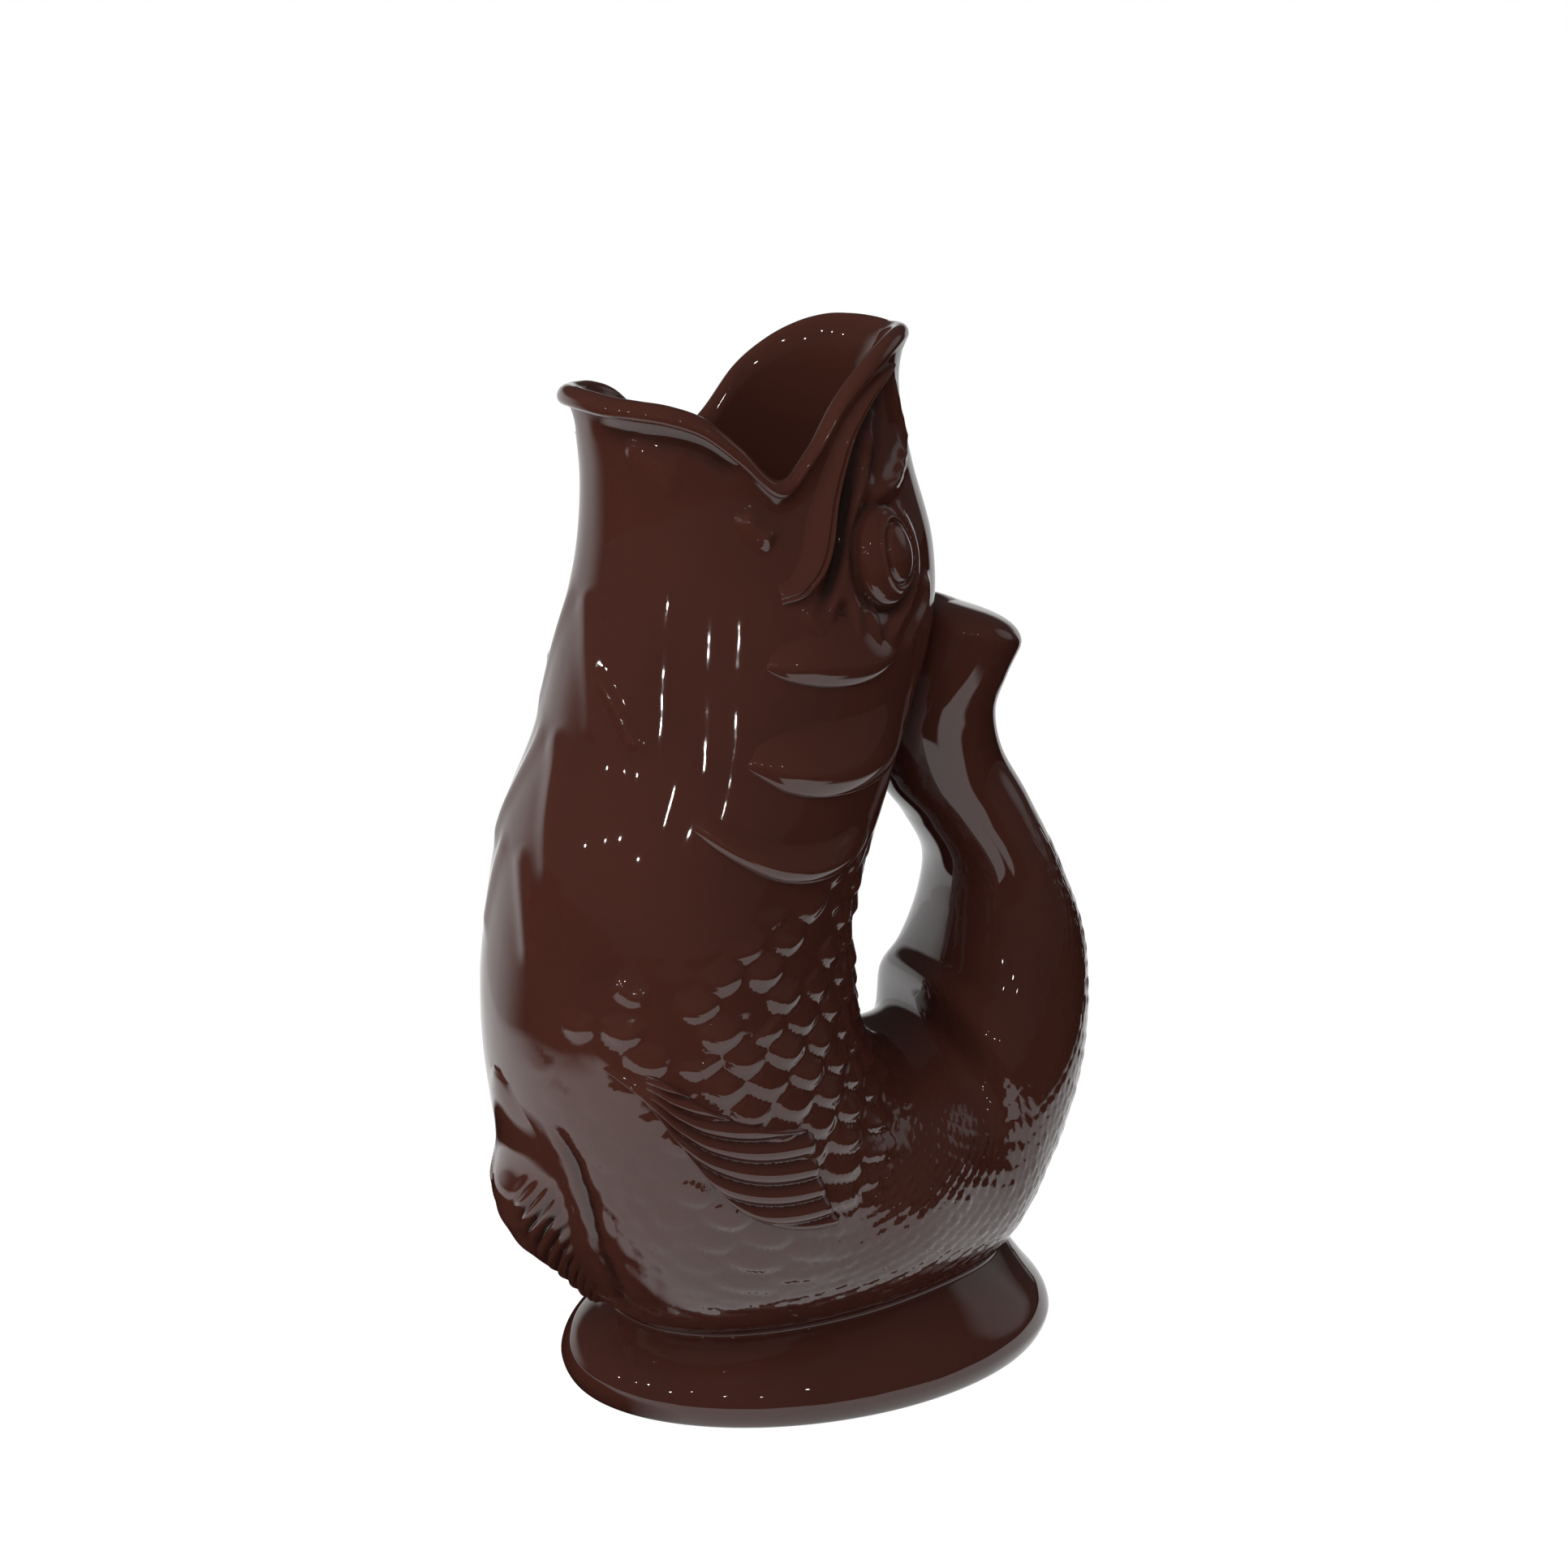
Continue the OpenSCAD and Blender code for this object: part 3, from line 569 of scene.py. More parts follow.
# rays of the fins: their number, height and sharpness, and how dark the glaze pools between them
PECTORAL_RAYS, PELVIC_RAYS, ANAL_RAYS = (5.2, 1.6, 0.8, 0.9), (15, 1.6, 0.7, 1.8), (4, 0.4, 0.9, 0.0)


def unit_grid(rows, cols):
    """Places from 0 to 1 along and across a pad."""
    return np.meshgrid(np.linspace(0, 1, rows), np.linspace(0, 1, cols), indexing="ij")


def pad_piece(name, node, t, a, lift, thinning, mirror=False):
    """Closed pad whose top stands lift above the skin and whose underside is sunk into it."""
    base = skin(t, a)
    n = normals(base, False)
    middle = skin(t, (a + 180))
    n = n * np.sign(((base - middle) * n).sum())
    sunk = base - n * PAD_DEPTH
    top = base + n * lift[..., None]
    for p in (top, sunk):
        p[..., 2] = np.maximum(p[..., 2], PAD_FLOOR)
    rows, cols = t.shape
    count = rows * cols
    i, j = np.meshgrid(np.arange(rows - 1), np.arange(cols - 1), indexing="ij")
    near, far = i * cols + j, (i + 1) * cols + j
    quads = np.stack([near, near + 1, far + 1, far], -1).reshape(-1, 4)
    rim = np.concatenate([
        np.arange(cols - 1), np.arange(rows - 1) * cols + cols - 1,
        (rows - 1) * cols + np.arange(cols - 1, 0, -1), np.arange(rows - 1, 0, -1) * cols,
    ])
    nxt = np.roll(rim, -1)
    side = np.stack([nxt, rim, rim + count, nxt + count], -1)
    faces = np.concatenate([quads, quads[:, ::-1] + count, side])
    verts = np.concatenate([top.reshape(-1, 3), sunk.reshape(-1, 3)])
    inward = np.cross(top[0, 1] - top[0, 0], top[1, 0] - top[0, 0]) @ n[0, 0] < 0
    if mirror:
        verts = verts * [1, -1, 1]
    if inward != mirror:
        faces = faces[:, ::-1]
    tone = np.concatenate([(thinning * lift).reshape(-1), np.zeros(count)])
    return make_piece(name, verts, faces, node, tone)


def both_sides(name, t, a, lift, thinning):
    """The same pad on the fish's left and, mirrored, on its right."""
    return [
        pad_piece("glazed_left_" + name, "left_" + name, t, a, lift, thinning),
        pad_piece("glazed_right_" + name, "right_" + name, t, a, lift, thinning, mirror=True),
    ]


def plate(name, front, free, thick, round_share=0.34, groove=0.0, tip=0.55):
    """Overlapping plate: it grows out of the skin in front and ends in a rounded free edge."""
    u, v = unit_grid(48, 84)
    u = u ** 0.9
    k = v * (len(front) - 1)
    place = read(front, k) * (1 - u[..., None]) + read(free, k) * u[..., None]
    edge = np.clip(1 - (1 - u) / round_share, 0, 1)
    body_of_plate = smooth(0, 0.8, u) * (0.55 * np.sqrt(1 - edge ** 2) + 0.45 * (1 - edge ** 2))
    ends = np.clip(np.sin(np.pi * v), 0, 1) ** tip
    rise = thick * body_of_plate - groove * np.exp(-((u - 0.80) / 0.035) ** 2)
    lift = rise * ends - EDGE_SINK * (1 - ends * smooth(0, 0.45, u) * smooth(0, 0.02, 1 - u))
    both_sides(name, place[..., 0], place[..., 1], lift, 0.2)


def build_eyes():
    """Domed eye with a raised oval pupil inside a fine ring."""
    u, v = unit_grid(61, 61)
    x, y = 2 * u - 1, 2 * v - 1
    dx, dy = x * np.sqrt(1 - y * y / 2), y * np.sqrt(1 - x * x / 2)
    r = np.hypot(dx, dy)
    lid = EYE_THICK * np.sqrt(np.clip(1 - r ** 2.2, 0, 1)) * (1 - 0.15 * dy)
    ball = np.hypot((dx + 0.02) / 0.60, (dy - 0.20) / 0.52)
    lift = lid - EDGE_SINK * smooth(0.97, 1, r)
    lift += PUPIL_THICK * np.sqrt(np.clip(1 - ball ** 2, 0, 1)) - 0.8 * np.exp(-((ball - 1.0) / 0.07) ** 2)
    lift += 0.5 * np.exp(-((ball - 1.22) / 0.08) ** 2) * smooth(1, 0.85, r)
    both_sides("eye", EYE_T + EYE_HALF_T * dx, EYE_A + EYE_HALF_A * dy, lift, 0.1)


plate("jaw_plate", JAW_FRONT, JAW_FREE, JAW_THICK, round_share=0.11, groove=0.6, tip=0.3)
plate("cheek_plate", CHEEK_FRONT, CHEEK_FREE, CHEEK_THICK)
plate("gill_cover", GILL_FRONT, GILL_FREE, GILL_THICK)
plate("shoulder_plate", SHOULDER_FRONT, SHOULDER_FREE, SHOULDER_THICK)
build_eyes()


# nodes that several trees use
def math_node(tree, kind, *values):
    """Math node whose inputs are other nodes' outputs or plain numbers."""
    node = tree.nodes.new("ShaderNodeMath")
    node.operation = kind
    for k, value in enumerate(values):
        if isinstance(value, (int, float)):
            node.inputs[k].default_value = value
        else:
            tree.links.new(value, node.inputs[k])
    return node.outputs[0]


def product(tree, first, *others):
    """Product of outputs and numbers."""
    for other in others:
        first = math_node(tree, "MULTIPLY", first, other)
    return first


def noise(tree, vector, scale, detail=2.0):
    """Noise over a vector. Its scale is a number or another node's output."""
    node = tree.nodes.new("ShaderNodeTexNoise")
    tree.links.new(vector, node.inputs["Vector"])
    if isinstance(scale, float):
        node.inputs["Scale"].default_value = scale
    else:
        tree.links.new(scale, node.inputs["Scale"])
    node.inputs["Detail"].default_value = detail
    return node.outputs["Fac"]


def map_range(tree, value, lo, hi, to_lo=0.0, to_hi=1.0, soft=False):
    """The value's way from lo to hi as a number from to_lo to to_hi, clamped."""
    node = tree.nodes.new("ShaderNodeMapRange")
    if soft:
        node.interpolation_type = "SMOOTHSTEP"
    for label, number in (("From Min", lo), ("From Max", hi), ("To Min", to_lo), ("To Max", to_hi)):
        node.inputs[label].default_value = number
    tree.links.new(value, node.inputs["Value"])
    return node.outputs[0]


def along(tree, vector, direction, lo, hi):
    """1 where a vector's share along a direction is at hi, fading to 0 at lo."""
    dot = tree.nodes.new("ShaderNodeVectorMath")
    dot.operation = "DOT_PRODUCT"
    dot.inputs[1].default_value = direction
    tree.links.new(vector, dot.inputs[0])
    return map_range(tree, dot.outputs["Value"], lo, hi, soft=True)


def within(tree, vector, edges):
    """Product of a vector's shares along each edge's direction."""
    return product(tree, *[along(tree, vector, *edge) for edge in edges])


def mix(tree, share, a, b, colours=False):
    """Mix of two numbers, or of two colours, by a share."""
    node = tree.nodes.new("ShaderNodeMix")
    first = 2
    if colours:
        node.data_type = "RGBA"
        first = 6
    tree.links.new(share, node.inputs["Factor"])
    for k, value in enumerate((a, b)):
        if isinstance(value, (float, tuple)):
            node.inputs[first + k].default_value = value
        else:
            tree.links.new(value, node.inputs[first + k])
    return node.outputs[2 if colours else 0]


def new_material(name):
    """Node material with its tree, its coat and its Object coordinates."""
    material = bpy.data.materials.new(name)
    material.use_nodes = True
    tree = material.node_tree
    where = tree.nodes.new("ShaderNodeTexCoord").outputs["Object"]
    return material, tree, tree.nodes["Principled BSDF"], where


def add_bump(tree, coat, height, distance):
    """Bump of a height's full range, as deep as a distance in metres."""
    bump = tree.nodes.new("ShaderNodeBump")
    bump.inputs["Strength"].default_value = 1.0
    bump.inputs["Distance"].default_value = distance
    tree.links.new(height, bump.inputs["Height"])
    tree.links.new(bump.outputs["Normal"], coat.inputs["Normal"])


def shader_group(name, inputs, outputs):
    """Shader node group with named inputs and outputs."""
    tree = bpy.data.node_groups.new(name, "ShaderNodeTree")
    for label, kind, value in inputs:
        socket = tree.interface.new_socket(label, in_out="INPUT", socket_type="NodeSocket" + kind)
        if value is not None:
            socket.default_value = value
    for label, kind in outputs:
        tree.interface.new_socket(label, in_out="OUTPUT", socket_type="NodeSocket" + kind)
    return tree, tree.nodes.new("NodeGroupInput").outputs, tree.nodes.new("NodeGroupOutput").inputs


# glaze and clay
RIPPLE_DEPTH, PEEL_SHARE, GRIT_DEPTH = 0.22 * MILLIMETRE, 0.006, 0.2 * MILLIMETRE


def glaze_ripple_group():
    """Height of the glaze's slow ripples and fine orange peel."""
    tree, given, made = shader_group(
        "glaze_ripple",
        [("Vector", "Vector", None), ("Ripple size", "Float", 60.0), ("Peel size", "Float", 700.0)],
        [("Height", "Float")])
    slow = noise(tree, given["Vector"], given["Ripple size"], 1.5)
    fine = noise(tree, given["Vector"], given["Peel size"], 1.0)
    tree.links.new(math_node(tree, "MULTIPLY_ADD", fine, PEEL_SHARE, slow), made["Height"])
    return tree


def glaze_pool_group():
    """Colour of a brown glaze that thins to red on ridges and pools dark in hollows."""
    tree, given, made = shader_group(
        "glaze_pool",
        [("Vector", "Vector", None), ("Depth", "Float", 0.0), ("Thin", "Color", (0.068, 0.023, 0.0145, 1)),
         ("Body", "Color", (0.045, 0.014, 0.010, 1)), ("Pool", "Color", (0.013, 0.006, 0.0045, 1))],
        [("Color", "Color"), ("Roughness", "Float")])
    cloud = noise(tree, given["Vector"], 28.0, 4.0)
    thinness = math_node(tree, "MULTIPLY_ADD", cloud, 1.4, given["Depth"])
    thin_share = map_range(tree, thinness, 0.7, 3.0)
    pool_share = map_range(tree, thinness, 0.65, -0.6)
    colour = mix(tree, thin_share, given["Body"], given["Thin"], colours=True)
    colour = mix(tree, pool_share, colour, given["Pool"], colours=True)
    tree.links.new(colour, made["Color"])
    tree.links.new(map_range(tree, cloud, 0.0, 1.0, 0.022, 0.045), made["Roughness"])
    return tree


def chocolate_glaze():
    """Very glossy dark brown glaze."""
    material, tree, coat, where = new_material("chocolate_glaze")
    coat.inputs["IOR"].default_value = 1.62
    depth = tree.nodes.new("ShaderNodeAttribute")
    depth.attribute_name = "glaze_depth"
    colour, bumps = tree.nodes.new("ShaderNodeGroup"), tree.nodes.new("ShaderNodeGroup")
    colour.node_tree = glaze_pool_group()
    bumps.node_tree = glaze_ripple_group()
    for group in (colour, bumps):
        tree.links.new(where, group.inputs["Vector"])
    tree.links.new(depth.outputs["Fac"], colour.inputs["Depth"])
    tree.links.new(colour.outputs["Color"], coat.inputs["Base Color"])
    tree.links.new(colour.outputs["Roughness"], coat.inputs["Roughness"])
    add_bump(tree, coat, bumps.outputs["Height"], RIPPLE_DEPTH)
    return material


def fired_clay():
    """Bare red-brown clay of the ring that stood in the kiln."""
    material, tree, coat, where = new_material("bare_fired_clay")
    coat.inputs["Roughness"].default_value = 0.85
    ramp = tree.nodes.new("ShaderNodeValToRGB")
    ramp.color_ramp.elements[0].color = (0.24, 0.12, 0.07, 1)
    ramp.color_ramp.elements[1].color = (0.42, 0.25, 0.15, 1)
    tree.links.new(noise(tree, where, 60.0), ramp.inputs["Fac"])
    tree.links.new(ramp.outputs["Color"], coat.inputs["Base Color"])
    add_bump(tree, coat, noise(tree, where, 1600.0, 6.0), GRIT_DEPTH)
    return material


# fins with rays
def fin_rays():
    """Geometry Nodes tree that raises evenly spaced rays out of a fin's skin."""
    tree = bpy.data.node_groups.new("raised_fin_rays", "GeometryNodeTree")
    tree.is_modifier = True
    face = tree.interface
    face.new_socket("Geometry", in_out="INPUT", socket_type="NodeSocketGeometry")
    for label, value in (("Rays", 5.0), ("Ray height", 0.0015), ("Ray sharpness", 0.8)):
        face.new_socket(label, in_out="INPUT", socket_type="NodeSocketFloat").default_value = value
    face.new_socket("Glaze", in_out="INPUT", socket_type="NodeSocketMaterial")
    face.new_socket("Geometry", in_out="OUTPUT", socket_type="NodeSocketGeometry")
    nodes, links = tree.nodes, tree.links
    given = nodes.new("NodeGroupInput").outputs

    def field(name, kind="FLOAT"):
        """An attribute of the fin's points."""
        node = nodes.new("GeometryNodeInputNamedAttribute")
        node.data_type = kind
        node.inputs["Name"].default_value = name
        return node.outputs["Attribute"]

    turns = product(tree, field("across"), given["Rays"], float(np.pi))
    ridge = math_node(tree, "ABSOLUTE", math_node(tree, "SINE", turns))
    crest = math_node(tree, "POWER", ridge, given["Ray sharpness"])
    push = nodes.new("ShaderNodeVectorMath")
    push.operation = "SCALE"
    links.new(field("out_of_skin", "FLOAT_VECTOR"), push.inputs[0])
    links.new(product(tree, crest, field("ray_share"), given["Ray height"]), push.inputs["Scale"])
    move = nodes.new("GeometryNodeSetPosition")
    links.new(given["Geometry"], move.inputs["Geometry"])
    links.new(push.outputs[0], move.inputs["Offset"])
    whole = nodes.new("GeometryNodeRealizeInstances")
    links.new(move.outputs["Geometry"], whole.inputs["Geometry"])
    coat = nodes.new("GeometryNodeSetMaterial")
    links.new(whole.outputs["Geometry"], coat.inputs["Geometry"])
    links.new(given["Glaze"], coat.inputs["Material"])
    links.new(coat.outputs["Geometry"], nodes.new("NodeGroupOutput").inputs["Geometry"])
    return tree


def set_fields(piece, fields):
    """Attributes on a piece's points, which the ray tree reads."""
    for name, (kind, values) in fields.items():
        layer = piece.data.attributes.new(name, kind, "POINT")
        key = "vector" if kind == "FLOAT_VECTOR" else "value"
        layer.data.foreach_set(key, np.asarray(values, np.float32).reshape(-1))


def pool_between_rays(piece, slots):
    """Lets the glaze run thick and dark between the rays of a pad's top."""
    depth = np.empty(len(piece.data.vertices), np.float32)
    layer = piece.data.attributes["glaze_depth"]
    layer.data.foreach_get("value", depth)
    depth[:slots.size] -= slots.reshape(-1)
    layer.data.foreach_set("value", depth)


def raise_rays(piece, across, share, rays, height, sharpness, pooled):
    """Runs the ray tree over a fin's pad and keeps the result as its mesh."""
    pool_between_rays(piece, pooled * share * (1 - np.abs(np.sin(np.pi * rays * across)) ** sharpness))
    top = across.size
    verts = np.empty(len(piece.data.vertices) * 3)
    piece.data.vertices.foreach_get("co", verts)
    verts = verts.reshape(-1, 3)
    up = verts[:top] - verts[top:]
    up /= np.maximum(np.linalg.norm(up, axis=1, keepdims=True), 1e-9)
    below = np.zeros(len(verts) - top)
    set_fields(piece, {
        "across": ("FLOAT", np.concatenate([across.reshape(-1), below])),
        "ray_share": ("FLOAT", np.concatenate([share.reshape(-1), below])),
        "out_of_skin": ("FLOAT_VECTOR", np.concatenate([up, np.zeros((len(below), 3))])),
    })
    mod = piece.modifiers.new("rays", "NODES")
    mod.node_group = ray_tree
    names = {s.name: s.identifier for s in ray_tree.interface.items_tree if s.in_out == "INPUT"}
    sizes = {"Rays": float(rays), "Ray height": height * MILLIMETRE, "Ray sharpness": sharpness,
             "Glaze": glaze}
    for label, value in sizes.items():
        mod[names[label]] = value
    bpy.context.view_layer.update()
    result = bpy.data.meshes.new_from_object(piece.evaluated_get(bpy.context.evaluated_depsgraph_get()))
    piece.modifiers.remove(mod)
    piece.data = result


def build_pectorals():
    """Rayed side fins, thickest along the leading edge."""
    u, v = unit_grid(90, 80)
    k = u * (len(PECTORAL_LOW) - 1)
    place = read(PECTORAL_LOW, k) * (1 - v[..., None]) + read(PECTORAL_TOP, k) * v[..., None]
    rounded = np.sqrt(np.clip(v / 0.06, 0, 1))
    body_of_fin = 1.5 * smooth(0, 0.3, u) * smooth(1.3, 0.0, v) * rounded
    ends = smooth(0, 0.06, 1 - v) * smooth(0, 0.05, u) * smooth(0, 0.03, 1 - u)
    lead = np.exp(-((v - 0.12) / 0.2) ** 2) * smooth(0, 0.25, u) * smooth(1.05, 0.5, u)
    lift = (body_of_fin + 0.9 * lead * rounded) * ends - EDGE_SINK * (1 - ends)
    share = smooth(0.15, 0.4, u) * ends * smooth(0.02, 0.14, v)
    for piece in both_sides("pectoral_fin", place[..., 0], place[..., 1], lift, 0.25):
        raise_rays(piece, v + 0.9 * (1 - u) ** 1.2, share, *PECTORAL_RAYS)


def build_pelvic_keel():
    """Keel under the belly in front, whose rays fan out from its slightly ragged crest."""
    u, v = unit_grid(110, 90)
    half, rise = read(PELVIC_HALF, u * 6), read(PELVIC_RISE, u * 6)
    hump = np.sin(np.pi * v)
    ragged = 1 + 0.02 * np.sin(u * 60) * hump
    lift = PELVIC_H * rise * hump ** 2.2 * ragged - PRESSED_IN * (1 - smooth(0, 0.08, hump))
    lift -= EDGE_SINK * smooth(0.03, 0, u)
    t = PELVIC_FROM + u * PELVIC_RUN
    piece = pad_piece("glazed_pelvic_keel", "pelvic_fin", t, (2 * v - 1) * half, lift, 0.05)
    crest = 1 - 2 * np.abs(v - 0.5)
    share = smooth(0.35, 0.5, u) * smooth(0, 0.06, 1 - u)
    share *= smooth(0.12, 0.3, crest) * smooth(0.8, 0.55, crest)
    raise_rays(piece, u - 0.37 * crest, share, *PELVIC_RAYS)


def build_anal_keel():
    """Small web between the tail and the foot."""
    u, v = unit_grid(50, 40)
    half, rise = read(ANAL_HALF, u * 6), read(ANAL_RISE, u * 6)
    hump = np.sin(np.pi * v)
    lift = ANAL_H * rise * hump ** 2.2 - PRESSED_IN * (1 - smooth(0, 0.1, hump))
    lift -= EDGE_SINK * smooth(0.9, 1, u)
    t = ANAL_FROM + u * ANAL_RUN
    piece = pad_piece("glazed_anal_keel", "anal_fin", t, (2 * v - 1) * half, lift, 0.05)
    raise_rays(piece, u, smooth(0.1, 0.5, hump), *ANAL_RAYS)


def coat_pieces():
    """Glaze on every piece, and bare clay where the foot rests."""
    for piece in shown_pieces():
        if piece.type == "MESH" and not piece.data.materials:
            piece.data.materials.append(glaze)
    foot.data.materials.append(fired_clay())
    heights = np.array([[foot.data.vertices[v].co.z for v in p.vertices] for p in foot.data.polygons])
    bare = heights.max(1) < BARE_UNDER * MILLIMETRE
    foot.data.polygons.foreach_set("material_index", bare.astype(np.int32))


glaze = chocolate_glaze()
ray_tree = fin_rays()
build_pectorals()
build_pelvic_keel()
build_anal_keel()
coat_pieces()

# camera
camera = bpy.data.objects.new("camera", bpy.data.cameras.new("camera"))
bpy.context.scene.collection.objects.link(camera)
bpy.context.scene.camera = camera
camera.location = (-0.28103, -0.59208, 0.32735)
CAMERA_AIM = Vector((-0.001144, 0, 0.144292))
camera.rotation_euler = (CAMERA_AIM - camera.location).to_track_quat("-Z", "Y").to_euler()
camera.data.lens = 66.48
camera.data.sensor_width = 36
camera.data.clip_start = 0.01

# floor and light, as the glaze in the photo mirrors them
TO_CAMERA, TO_ITS_RIGHT = (-0.427, -0.904, 0), (0.904, -0.427, 0)
# the table's painted glow, which only the glaze sees, and the paper that the glaze mirrors are bounded by
# edges: a direction, the share along it where nothing is left, and where it is in full. For the sheet and its
# right corner the shares are metres from the jug
SHEET = [(TO_CAMERA, 0.245, 0.225), (TO_ITS_RIGHT, 0.26, 0.21), (TO_ITS_RIGHT, -0.36, -0.26)]
CORNER = [(TO_CAMERA, 0.45, 0.41), (TO_ITS_RIGHT, 0.33, 0.28), (TO_ITS_RIGHT, 0.015, 0.05),
          (TO_CAMERA, 0.12, 0.17)]
PAPER = [((-0.469, 0.883, 0), 0.0, 0.08), ((0.5, 0.866, 0), 0.0, 0.5)]
PAPER_ENDS_UP, RIGHT_PATCH = ((0, 0, 1), 0.24, 0.04), ((0.913, 0.0, 0.407), 0.92, 0.98)
# how bright these are in the glaze, how bright the rest is, and the even light on the clay's own colour
PAPER_ON_FLOOR, PAPER_IN_AIR, PATCH_WHITE, ELSEWHERE, SOFT_LIGHT = 0.82, 0.76, 0.4, 0.04, 0.36
# painted shadow of the jug on the table, which only the glaze sees: its middle, and where its edge starts and
# ends
PAINTED_SHADOW_MIDDLE, PAINTED_SHADOW_DARK_TO, PAINTED_SHADOW_PALE_FROM = (-0.068, 0.072, 0), 0.092, 0.106
# how white the table is to the camera, and how much of its look is glow
CAMERA_WHITE, FLOOR_GLOW = 1.14, 0.85
# lamps that light the clay and aren't mirrored: name, place, aim, size and power
LARGE_LAMPS = [("left_wall", (-1.25, 0.15, 0.5), (0, 0, 0.12), 1.2, 9.0),
               ("mouth_fill", (-0.05, -0.25, 1.3), (0, 0, 0.1), 0.8, 3.0),
               ("soft_front", (-1.22, -1.25, 1.5), (0, 0, 0.12), 1.3, 24.5)]
SMALL_LAMP_FAR, SMALL_LAMP_SIZE, SMALL_LAMP_POWER = 1.3, 0.016, 0.07
# turn round the jug and rise in degrees, and strength
SMALL_LAMPS = [(-151, 15, 1.6), (-125, 18.5, 1.2), (-165, 20, 1.3), (-173, 18, 0.8), (-109, 18, 0.6),
               (175, 15, 1.2), (-91, 28, 0.8), (-141, 23, 0.8)]


def painted_table_reflection(tree, place):
    """Painted reflection of the table: how brightly it glows to the glaze. It glows pale in a sheet round the
    jug that ends a hand's width in front of it, but further out at its right corner, and where the paper
    behind is. A painted shadow close by the jug is dark."""
    sheet, corner = within(tree, place, SHEET), within(tree, place, CORNER)
    way = tree.nodes.new("ShaderNodeVectorMath")
    way.operation = "NORMALIZE"
    tree.links.new(place, way.inputs[0])
    paper = product(tree, within(tree, way.outputs[0], PAPER), PAPER_ON_FLOOR)
    # painted shadow: the table's glow to the glaze is cut out in a soft spot close by the jug
    spot = tree.nodes.new("ShaderNodeVectorMath")
    spot.operation = "DISTANCE"
    spot.inputs[1].default_value = PAINTED_SHADOW_MIDDLE
    tree.links.new(place, spot.inputs[0])
    clear = map_range(tree, spot.outputs["Value"], PAINTED_SHADOW_DARK_TO, PAINTED_SHADOW_PALE_FROM)
    pale = math_node(tree, "MAXIMUM", math_node(tree, "MAXIMUM", sheet, corner), paper)
    return product(tree, pale, clear)


def pale_floor():
    """Pale table top. It is white to the camera and keeps the jug's soft shadow.
    To the glaze it glows as a painted reflection with a painted shadow, and it is dark further out.
    """
    mesh = bpy.data.meshes.new("floor")
    mesh.from_pydata([(-6, -6, 0), (6, -6, 0), (6, 6, 0), (-6, 6, 0)], [], [(0, 1, 2, 3)])
    floor = bpy.data.objects.new("floor", mesh)
    bpy.context.scene.collection.objects.link(floor)
    material = bpy.data.materials.new("pale_table")
    material.use_nodes = True
    tree = material.node_tree
    tree.nodes.clear()
    new, link = tree.nodes.new, tree.links.new
    place = new("ShaderNodeNewGeometry").outputs["Position"]
    path = new("ShaderNodeLightPath").outputs
    # to the glaze the table's glow and colour follow its painted reflection; to the camera it is evenly white
    strength = mix(tree, path["Is Glossy Ray"], CAMERA_WHITE, painted_table_reflection(tree, place))
    colour = mix(tree, strength, (0.02, 0.02, 0.02, 1), (0.82, 0.82, 0.83, 1), colours=True)
    plain, glow = new("ShaderNodeBsdfDiffuse"), new("ShaderNodeEmission")
    glow.inputs["Color"].default_value = (1.0, 1.0, 1.0, 1)
    link(colour, plain.inputs["Color"])
    link(strength, glow.inputs["Strength"])
    seen = math_node(tree, "MAXIMUM", path["Is Camera Ray"], path["Is Glossy Ray"])
    both = new("ShaderNodeMixShader")
    link(product(tree, seen, FLOOR_GLOW), both.inputs["Fac"])
    link(plain.outputs[0], both.inputs[1])
    link(glow.outputs[0], both.inputs[2])
    link(both.outputs[0], new("ShaderNodeOutputMaterial").inputs["Surface"])
    mesh.materials.append(material)


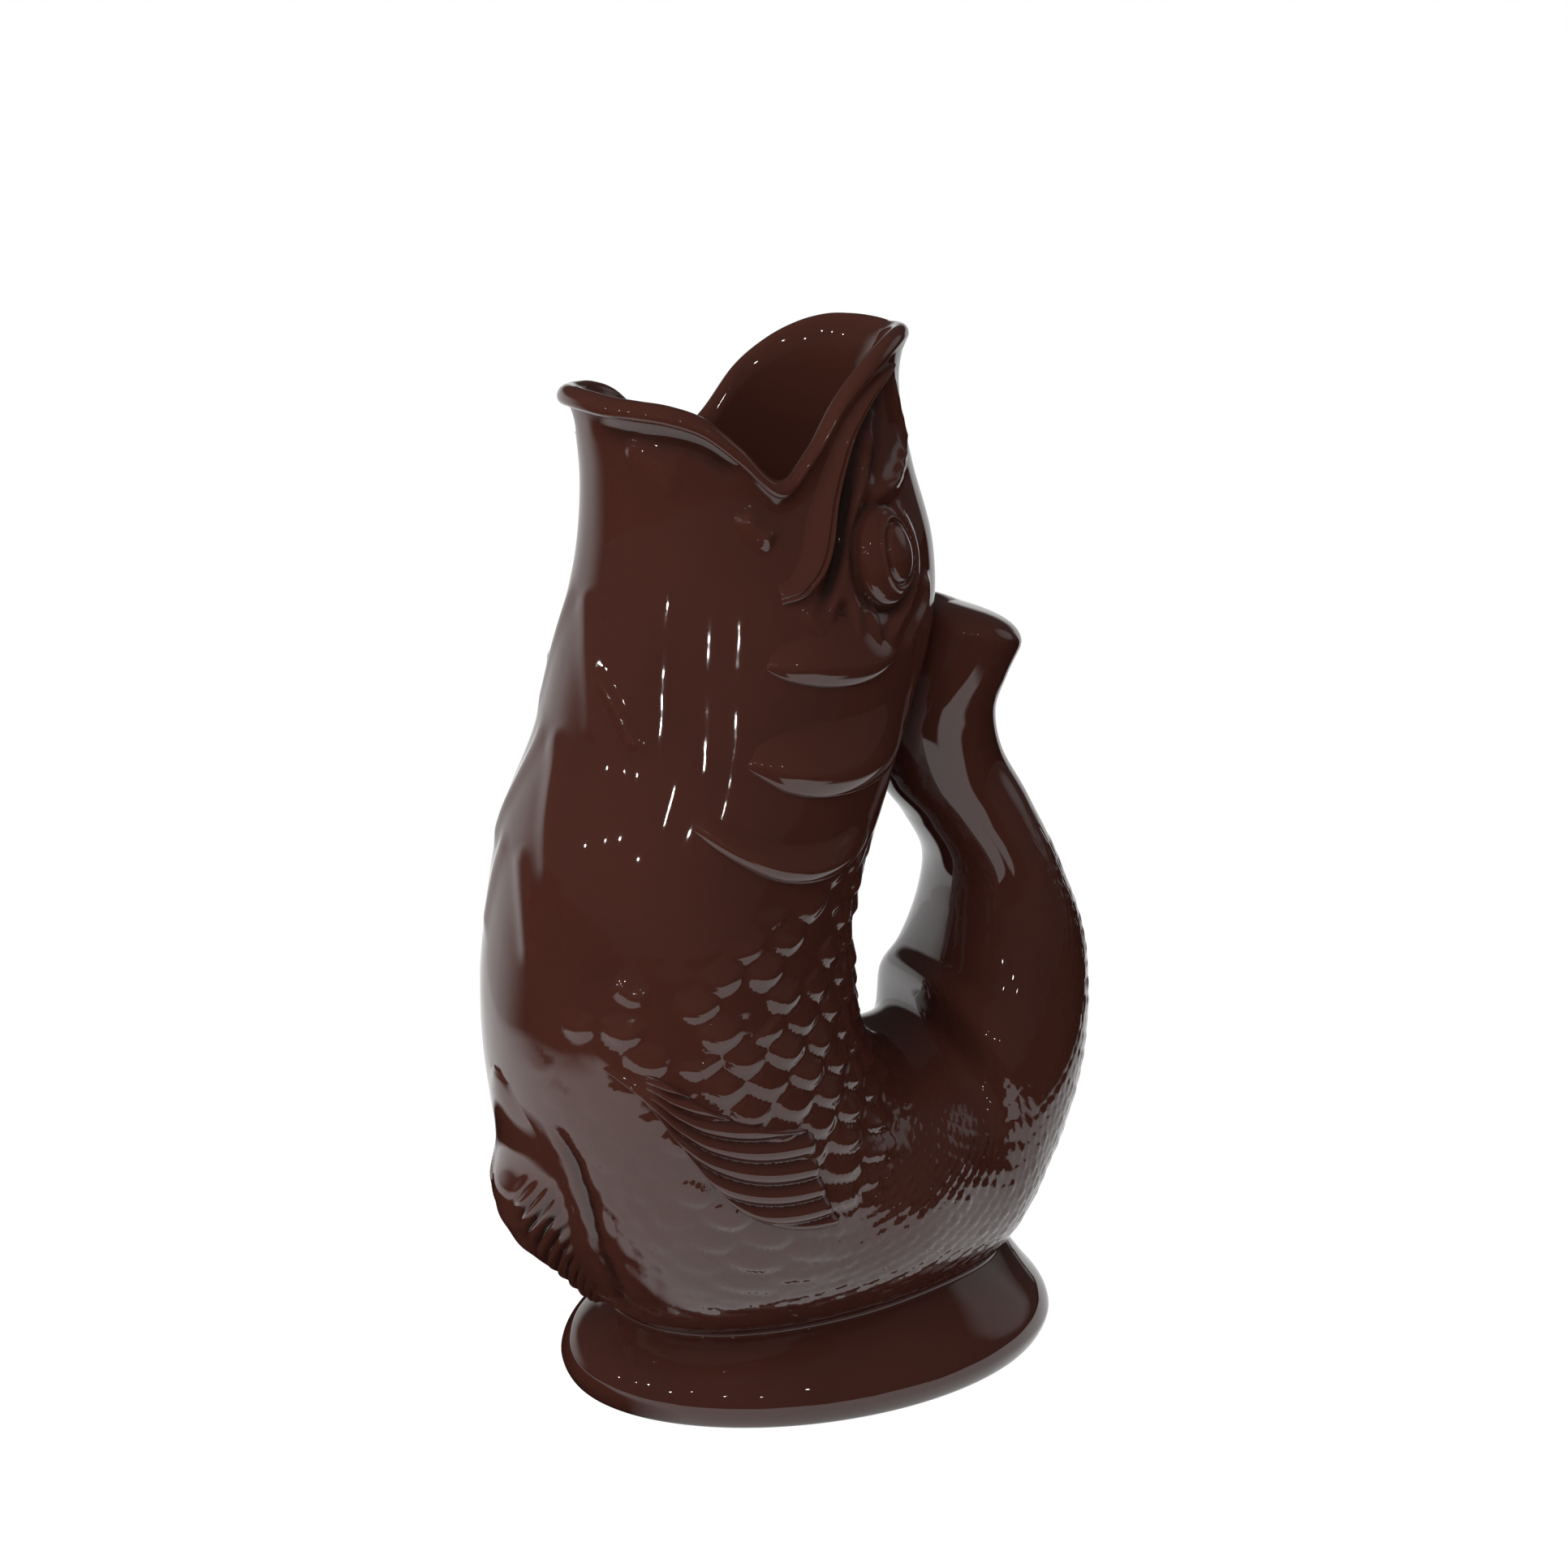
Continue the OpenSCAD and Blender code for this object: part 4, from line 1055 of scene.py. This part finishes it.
def studio_world():
    """White to the camera. In the glaze it is pale low behind the jug, with a dimmer patch up on the right
    side of the jug, and dark elsewhere. To the clay's own colour it is a soft even light."""
    world = bpy.data.worlds.new("studio")
    bpy.context.scene.world = world
    world.use_nodes = True
    tree = world.node_tree
    tree.nodes.clear()
    new, link = tree.nodes.new, tree.links.new
    path = new("ShaderNodeLightPath").outputs
    way = new("ShaderNodeTexCoord").outputs["Generated"]
    paper = product(tree, within(tree, way, PAPER + [PAPER_ENDS_UP]), PAPER_IN_AIR)
    upper_patch = product(tree, within(tree, way, [RIGHT_PATCH]), PATCH_WHITE)
    mirrored = math_node(tree, "MAXIMUM", math_node(tree, "MAXIMUM", paper, upper_patch), ELSEWHERE)
    light = mix(tree, path["Is Glossy Ray"], SOFT_LIGHT, mirrored)
    seen = math_node(tree, "MAXIMUM", path["Is Camera Ray"], path["Is Transmission Ray"])
    sky = new("ShaderNodeBackground")
    sky.inputs["Color"].default_value = (1, 1, 1, 1)
    link(mix(tree, seen, light, 1.0), sky.inputs["Strength"])
    link(sky.outputs[0], new("ShaderNodeOutputWorld").inputs["Surface"])


def lamp_panel(name, place, aim, size, power, in_glaze):
    """Soft square lamp aimed at a point, which the glaze mirrors or not."""
    data = bpy.data.lights.new(name, "AREA")
    data.shape = "RECTANGLE"
    data.size = size
    data.size_y = size
    data.energy = power
    lamp = bpy.data.objects.new(name, data)
    bpy.context.scene.collection.objects.link(lamp)
    lamp.location = place
    lamp.rotation_euler = (Vector(aim) - Vector(place)).to_track_quat("-Z", "Y").to_euler()
    lamp.visible_glossy = in_glaze


def small_lamps():
    """Shop lamps round the front, which make the small glints."""
    aim = Vector((0, 0, 0.14))
    for k, (turn, rise, strength) in enumerate(SMALL_LAMPS):
        turn, rise = np.radians(turn), np.radians(rise)
        way = Vector((np.cos(turn) * np.cos(rise), np.sin(turn) * np.cos(rise), np.sin(rise)))
        place = aim + SMALL_LAMP_FAR * way
        lamp_panel("small_lamp_%d" % k, place, aim, SMALL_LAMP_SIZE, SMALL_LAMP_POWER * strength, True)


pale_floor()
studio_world()
for name, place, aim, size, power in LARGE_LAMPS:
    lamp_panel(name, place, aim, size, power, False)
small_lamps()

bpy.context.scene.view_settings.view_transform = "Standard"
